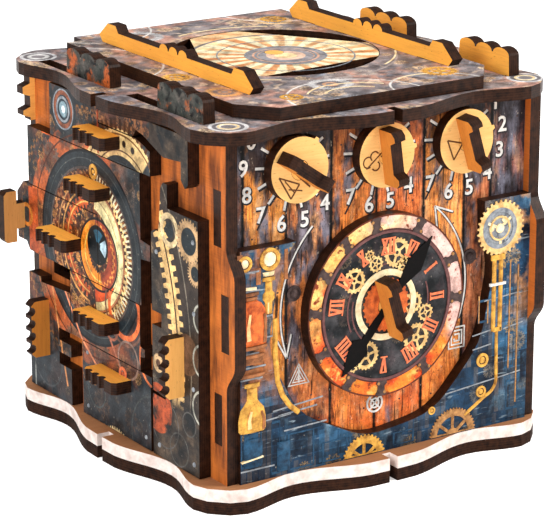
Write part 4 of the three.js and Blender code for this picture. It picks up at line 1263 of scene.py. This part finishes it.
def make_bottom_gears():
    for name, colour, u, v, outer, inner, teeth in (("right", "bronze", 27.0, 8.0, 8.4, 6.2, 46),
                                                     ("middle", "gold", -7.0, 7.1, 7.4, 5.0, 34)):
        gears = overlay("floor_gear_" + name, colour)
        rim = above_line(cog(u, v, outer, teeth, 0.5), OVERLAY_FOOT)
        bore = above_line(circle(u, v, inner, 40), OVERLAY_FOOT + 0.4)
        gears.shape([rim, bore[::-1]], 0.3)
        gears.shape(above_line(circle(u, v, 0.36 * inner, 20), OVERLAY_FOOT), 0.34)
        for turn in (38, 90, 142):
            spoke = placed(box(0.3 * inner, inner + 0.4, -0.5, 0.5), u, v, turn)
            gears.shape(above_line(spoke, OVERLAY_FOOT), 0.22)
    panels = overlay("floor_panels", "sea")
    for u0, u1, v0, v1 in ((-52, -44.6, 13, 26), (-41, -38, 9, 26), (-35, -25.5, 9, 21),
                           (-22.5, -13, 9, 15.5), (4, 12, 9, 13.2)):
        panels.shape(outline(box(u0, u1, v0, v1), 0.7), 0.12)
    panels.shape(box(-50.8, -45.8, 17.5, 25), 0.1)
    rails = overlay("floor_rails", "steel")
    for a, b in (((-40.5, 29.2), (-22.4, 30.6)), ((-38.5, 27.4), (-24.5, 28.3)), ((-52, 12.0), (-40, 12.0)),
                 ((-43.6, 26.8), (-34, 27.4)), ((-36.5, 22.2), (-21, 22.6))):
        rails.line([a, b], 0.45, 0.15)


def make_left_vessels():
    """Lamp, tank and flask down the left side, and the pipe that follows the bay."""
    tank = overlay("red_tank", "ember")
    tank.vessel(-48.0, [(51.6, 5.2), (53.0, 5.4), (59.0, 5.4), (62.4, 4.8), (64.4, 3.4), (65.4, 1.6)], 0.22)
    # painted highlights: light strips down the tank and the flasks
    shine = overlay("vessel_shine", "flame")
    shine.line([(-49.6, 53.4), (-49.9, 57.5), (-49.2, 61.6)], 1.5, 1.3, 0.8, taper=0.5)
    shine.line([(-49.3, 25.6), (-49.5, 28.2), (-48.7, 31.0)], 1.4, 1.1, 0.7, taper=0.5)
    shine.line([(-42.4, 60.6), (-42.4, 64.0)], 0.5, 0.55, 0.3)
    # painted shade: dark strips down the far sides of the tank and the flask, in the rust ink
    shadow = overlay("vessel_shadow", "rust")
    shadow.line([(-44.0, 52.2), (-43.6, 57.0), (-44.0, 61.0)], 1.1, 1.05, 0.5, taper=0.6)
    shadow.line([(-44.3, 24.8), (-44.1, 28.0), (-45.0, 30.6)], 1.0, 0.95, 0.4, taper=0.6)
    bands = overlay("tank_bands", "rust")
    for v, half in ((50.9, 5.5), (66.0, 2.0), (67.4, 2.6), (42.2, 4.9), (48.2, 4.4)):
        bands.vessel(-48.0, [(v - 0.5, half), (v + 0.5, half)], 0.25)
    flask = overlay("gold_flask", "gold")
    flask.vessel(-47.9, [(24.2, 4.2), (25.0, 4.9), (28.6, 4.9), (31.6, 4.2), (33.4, 2.6), (34.4, 1.9),
                         (38.4, 1.8)])
    flask.vessel(-47.9, [(38.4, 2.7), (39.6, 2.7)], 0.3)
    flask.vessel(-42.0, [(60.4, 1.2), (64.0, 1.3), (65.0, 2.1), (66.6, 2.1), (67.4, 1.3), (70.6, 1.2)],
                 0.35)
    flask.vessel(-42.0, [(70.6, 2.2), (71.8, 2.2)], 0.3)
    tank = overlay("blue_tank", "sea")
    tank.vessel(-47.6, [(13.0, 3.4), (20.4, 3.4), (22.0, 2.4)], 0.25)
    tank.vessel(-36.6, [(9.6, 2.4), (19.0, 2.4)], 0.25)
    glass = overlay("lamp_glass", "gold")
    glass.shape(ring(-41.6, 77.2, 2.4, 3.5), 0.4)
    glass.shape(ring(-50.4, 77.0, 1.6, 2.5), 0.3)
    lamp = overlay("lamp", "ivory")
    lamp.dome(-41.6, 77.2, 2.3, 0.5)
    lamp.dome(-50.4, 77.0, 1.4, 0.3, 12)
    lamp.vessel(-42.0, [(72.2, 1.8), (73.4, 2.2)], 0.3)
    lamp.line([(-51.6, 69.4), (-46.4, 69.0)], 0.9, 0.3)
    lamp.line([(-52, 15.2), (-44.4, 16.0)], 0.5, 0.9)
    pipe = overlay("bay_pipe", "gold")
    pipe.tube([(-39.9, 58.5), (-39.7, 47), (-38.8, 38.4), (-37.0, 33.6), (-34.4, 29.9), (-31.2, 27.2)],
              1.7, 0.45)
    blocks = overlay("left_blocks", "rust")
    for u0, u1, v0, v1 in ((-51.6, -44, 45.4, 47.4), (-46.4, -44.8, 70, 75), (-50.8, -45.4, 41.6, 44),
                           (-36.4, -35.2, 70, 79.4), (-53, -51.2, 70, 80)):
        blocks.shape(box(u0, u1, v0, v1), 0.12)
    bars = overlay("left_bars", "steel")
    for v in (74.2, 68.4, 48.9, 44.6, 41.0, 24.4):
        bars.line([(-52, v), (-44 + 1.5 * math.sin(v), v)], 0.5, 0.2)
    bars.shape(outline(box(-43, -40.6, 53, 60), 0.5), 0.2)


# ---- signs on the knobs ----------------------------------------------------------------------


def make_knob_signs():
    """Signs burnt into the three knob discs."""
    def sides(a, b, c):
        return ([a, b], 0.5), ([b, c], 0.5), ([c, a], 0.5)

    def sign(n, lines):
        x, z = KNOBS[n - 1]
        mark = Relief(f"knob_{n}_sign", "knob", "scorch", f"knob_{n}")
        for k, (line, width) in enumerate(lines):
            mark.line([(x + p, z + q) for p, q in line], width, 0.05 + 0.006 * k)

    sign(1, [
        ([(-6.3, 3.4), (3.6, -5.6)], 0.6),
        *sides((-7.4, -1.4), (-0.2, -4.3), (-3.2, -8.4)),
        ([(-5.4, -2.6), (-2.0, -6.6)], 0.4), ([(-4.0, -5.4), (0.8, -6.4)], 0.4),
    ])
    sign(2, [
        (arc(-7.0, -1.4, 1.7, 60, 300, 12), 0.45), (arc(-4.6, 0.2, 1.5, 30, 230, 12), 0.45),
        (arc(-4.2, -2.8, 1.4, -150, 60, 12), 0.45), ([(-7.6, -3.4), (-1.6, 1.4)], 0.4),
        ([(-2.4, -0.2), (0.8, 1.0)], 0.4),
    ])
    sign(3, [
        *sides((-7.4, 1.2), (-1.6, -0.4), (-4.9, -5.2)),
    ])


# ---- raised print: left face and top -----------------------------------------------------------

def make_left_details():
    """Small raised rings, bosses and bolt heads, each on its own slider."""
    eye = Relief("slider_a_eye_rim", "slider", "steel", "slider_a")
    eye.shape(ring(30, 106.5, 3.4, 4.2, 32), 0.18).shape(ring(30, 106.5, 6.1, 6.6, 40), 0.12)
    boss = Relief("slider_b_boss", "slider", "gold", "slider_b")
    boss.shape(ring(11.6, 90.4, 1.3, 2.5, 28), 0.25).shape(circle(11.6, 90.4, 0.7, 14), 0.2)
    boss = Relief("slider_e_boss", "slider", "copper", "slider_e")
    boss.shape(ring(-4.8, 28.8, 1.2, 2.3, 28), 0.25).shape(circle(-4.8, 28.8, 0.6, 14), 0.2)
    bolts = Relief("slider_g_bolts", "slider", "steel", "slider_g")
    for y, z in ((-47.0, 82), (-26.0, 74), (-47.2, 60), (-46.6, 36), (-26.5, 12), (-46.8, 12)):
        bolts.dome(y, z, 0.8, 0.5, 12, 3)
    bolts = Relief("slider_e_bolts", "slider", "steel", "slider_e")
    for y, z in ((17.5, 29.5), (17.5, 11.5), (-18.5, 12)):
        bolts.dome(y, z, 0.7, 0.45, 12, 3)


LID_WHEELS = [(29.8, -46.2, 4.8, 6), (-41.9, -9.0, 3.4, 5), (-27.0, -49.5, 3.2, 5), (42.6, 12.0, 2.6, 5),
              (29.0, 45.5, 4.0, 6), (-28.6, 46.0, 3.6, 5)]


def make_top_details():
    gears = Relief("lid_gears", "lid", "gold", "lid")
    for k, (u, v, radius, spokes) in enumerate(LID_WHEELS):
        teeth = round(6 * radius)
        gears.shape(wheel(u, v, radius, teeth, 0.4, 0.24 * radius, spokes, 0.34 * radius, 11 * k), 0.14)
    arcs = Relief("lid_arcs", "lid", "ivory", "lid")
    for u, v, radius, start, end in ((-8, -60, 17, 35, 140), (-8, -60, 12, 40, 130), (20, -60, 14, 50, 120),
                                     (2, 4, 38.5, 200, 240), (2, 4, 38.5, 300, 330), (2, 4, 38.5, 60, 110)):
        arcs.line(arc(u, v, radius, start, end), 0.6, 0.1)
    eye = Relief("rotor_rings", "rotor", "steel", "rotor")
    eye.shape(ring(*PUPIL, 9.2, 9.9), 0.1).shape(ring(*PUPIL, 12.6, 13.1), 0.1)
    eye.shape(ring(*PUPIL, 21.6, 22.0), 0.1)
    corners = Relief("roof_corner_rings", "roof", "ivory")
    for u, v in ((-53, -55.5), (57.0, -54)):
        corners.shape(ring(u, v, 2.6, 3.3, 32), 0.12)


# ---- building the scene --------------------------------------------------------------------


bpy.context.scene.view_settings.view_transform = "Standard"
make_camera()
make_studio()
paint_sheets()
for make in (make_front_marks, make_dial_face, make_overlay_machines, make_knob_signs, make_left_details,
             make_top_details):
    make()
for relief in Relief.every:
    relief.done()
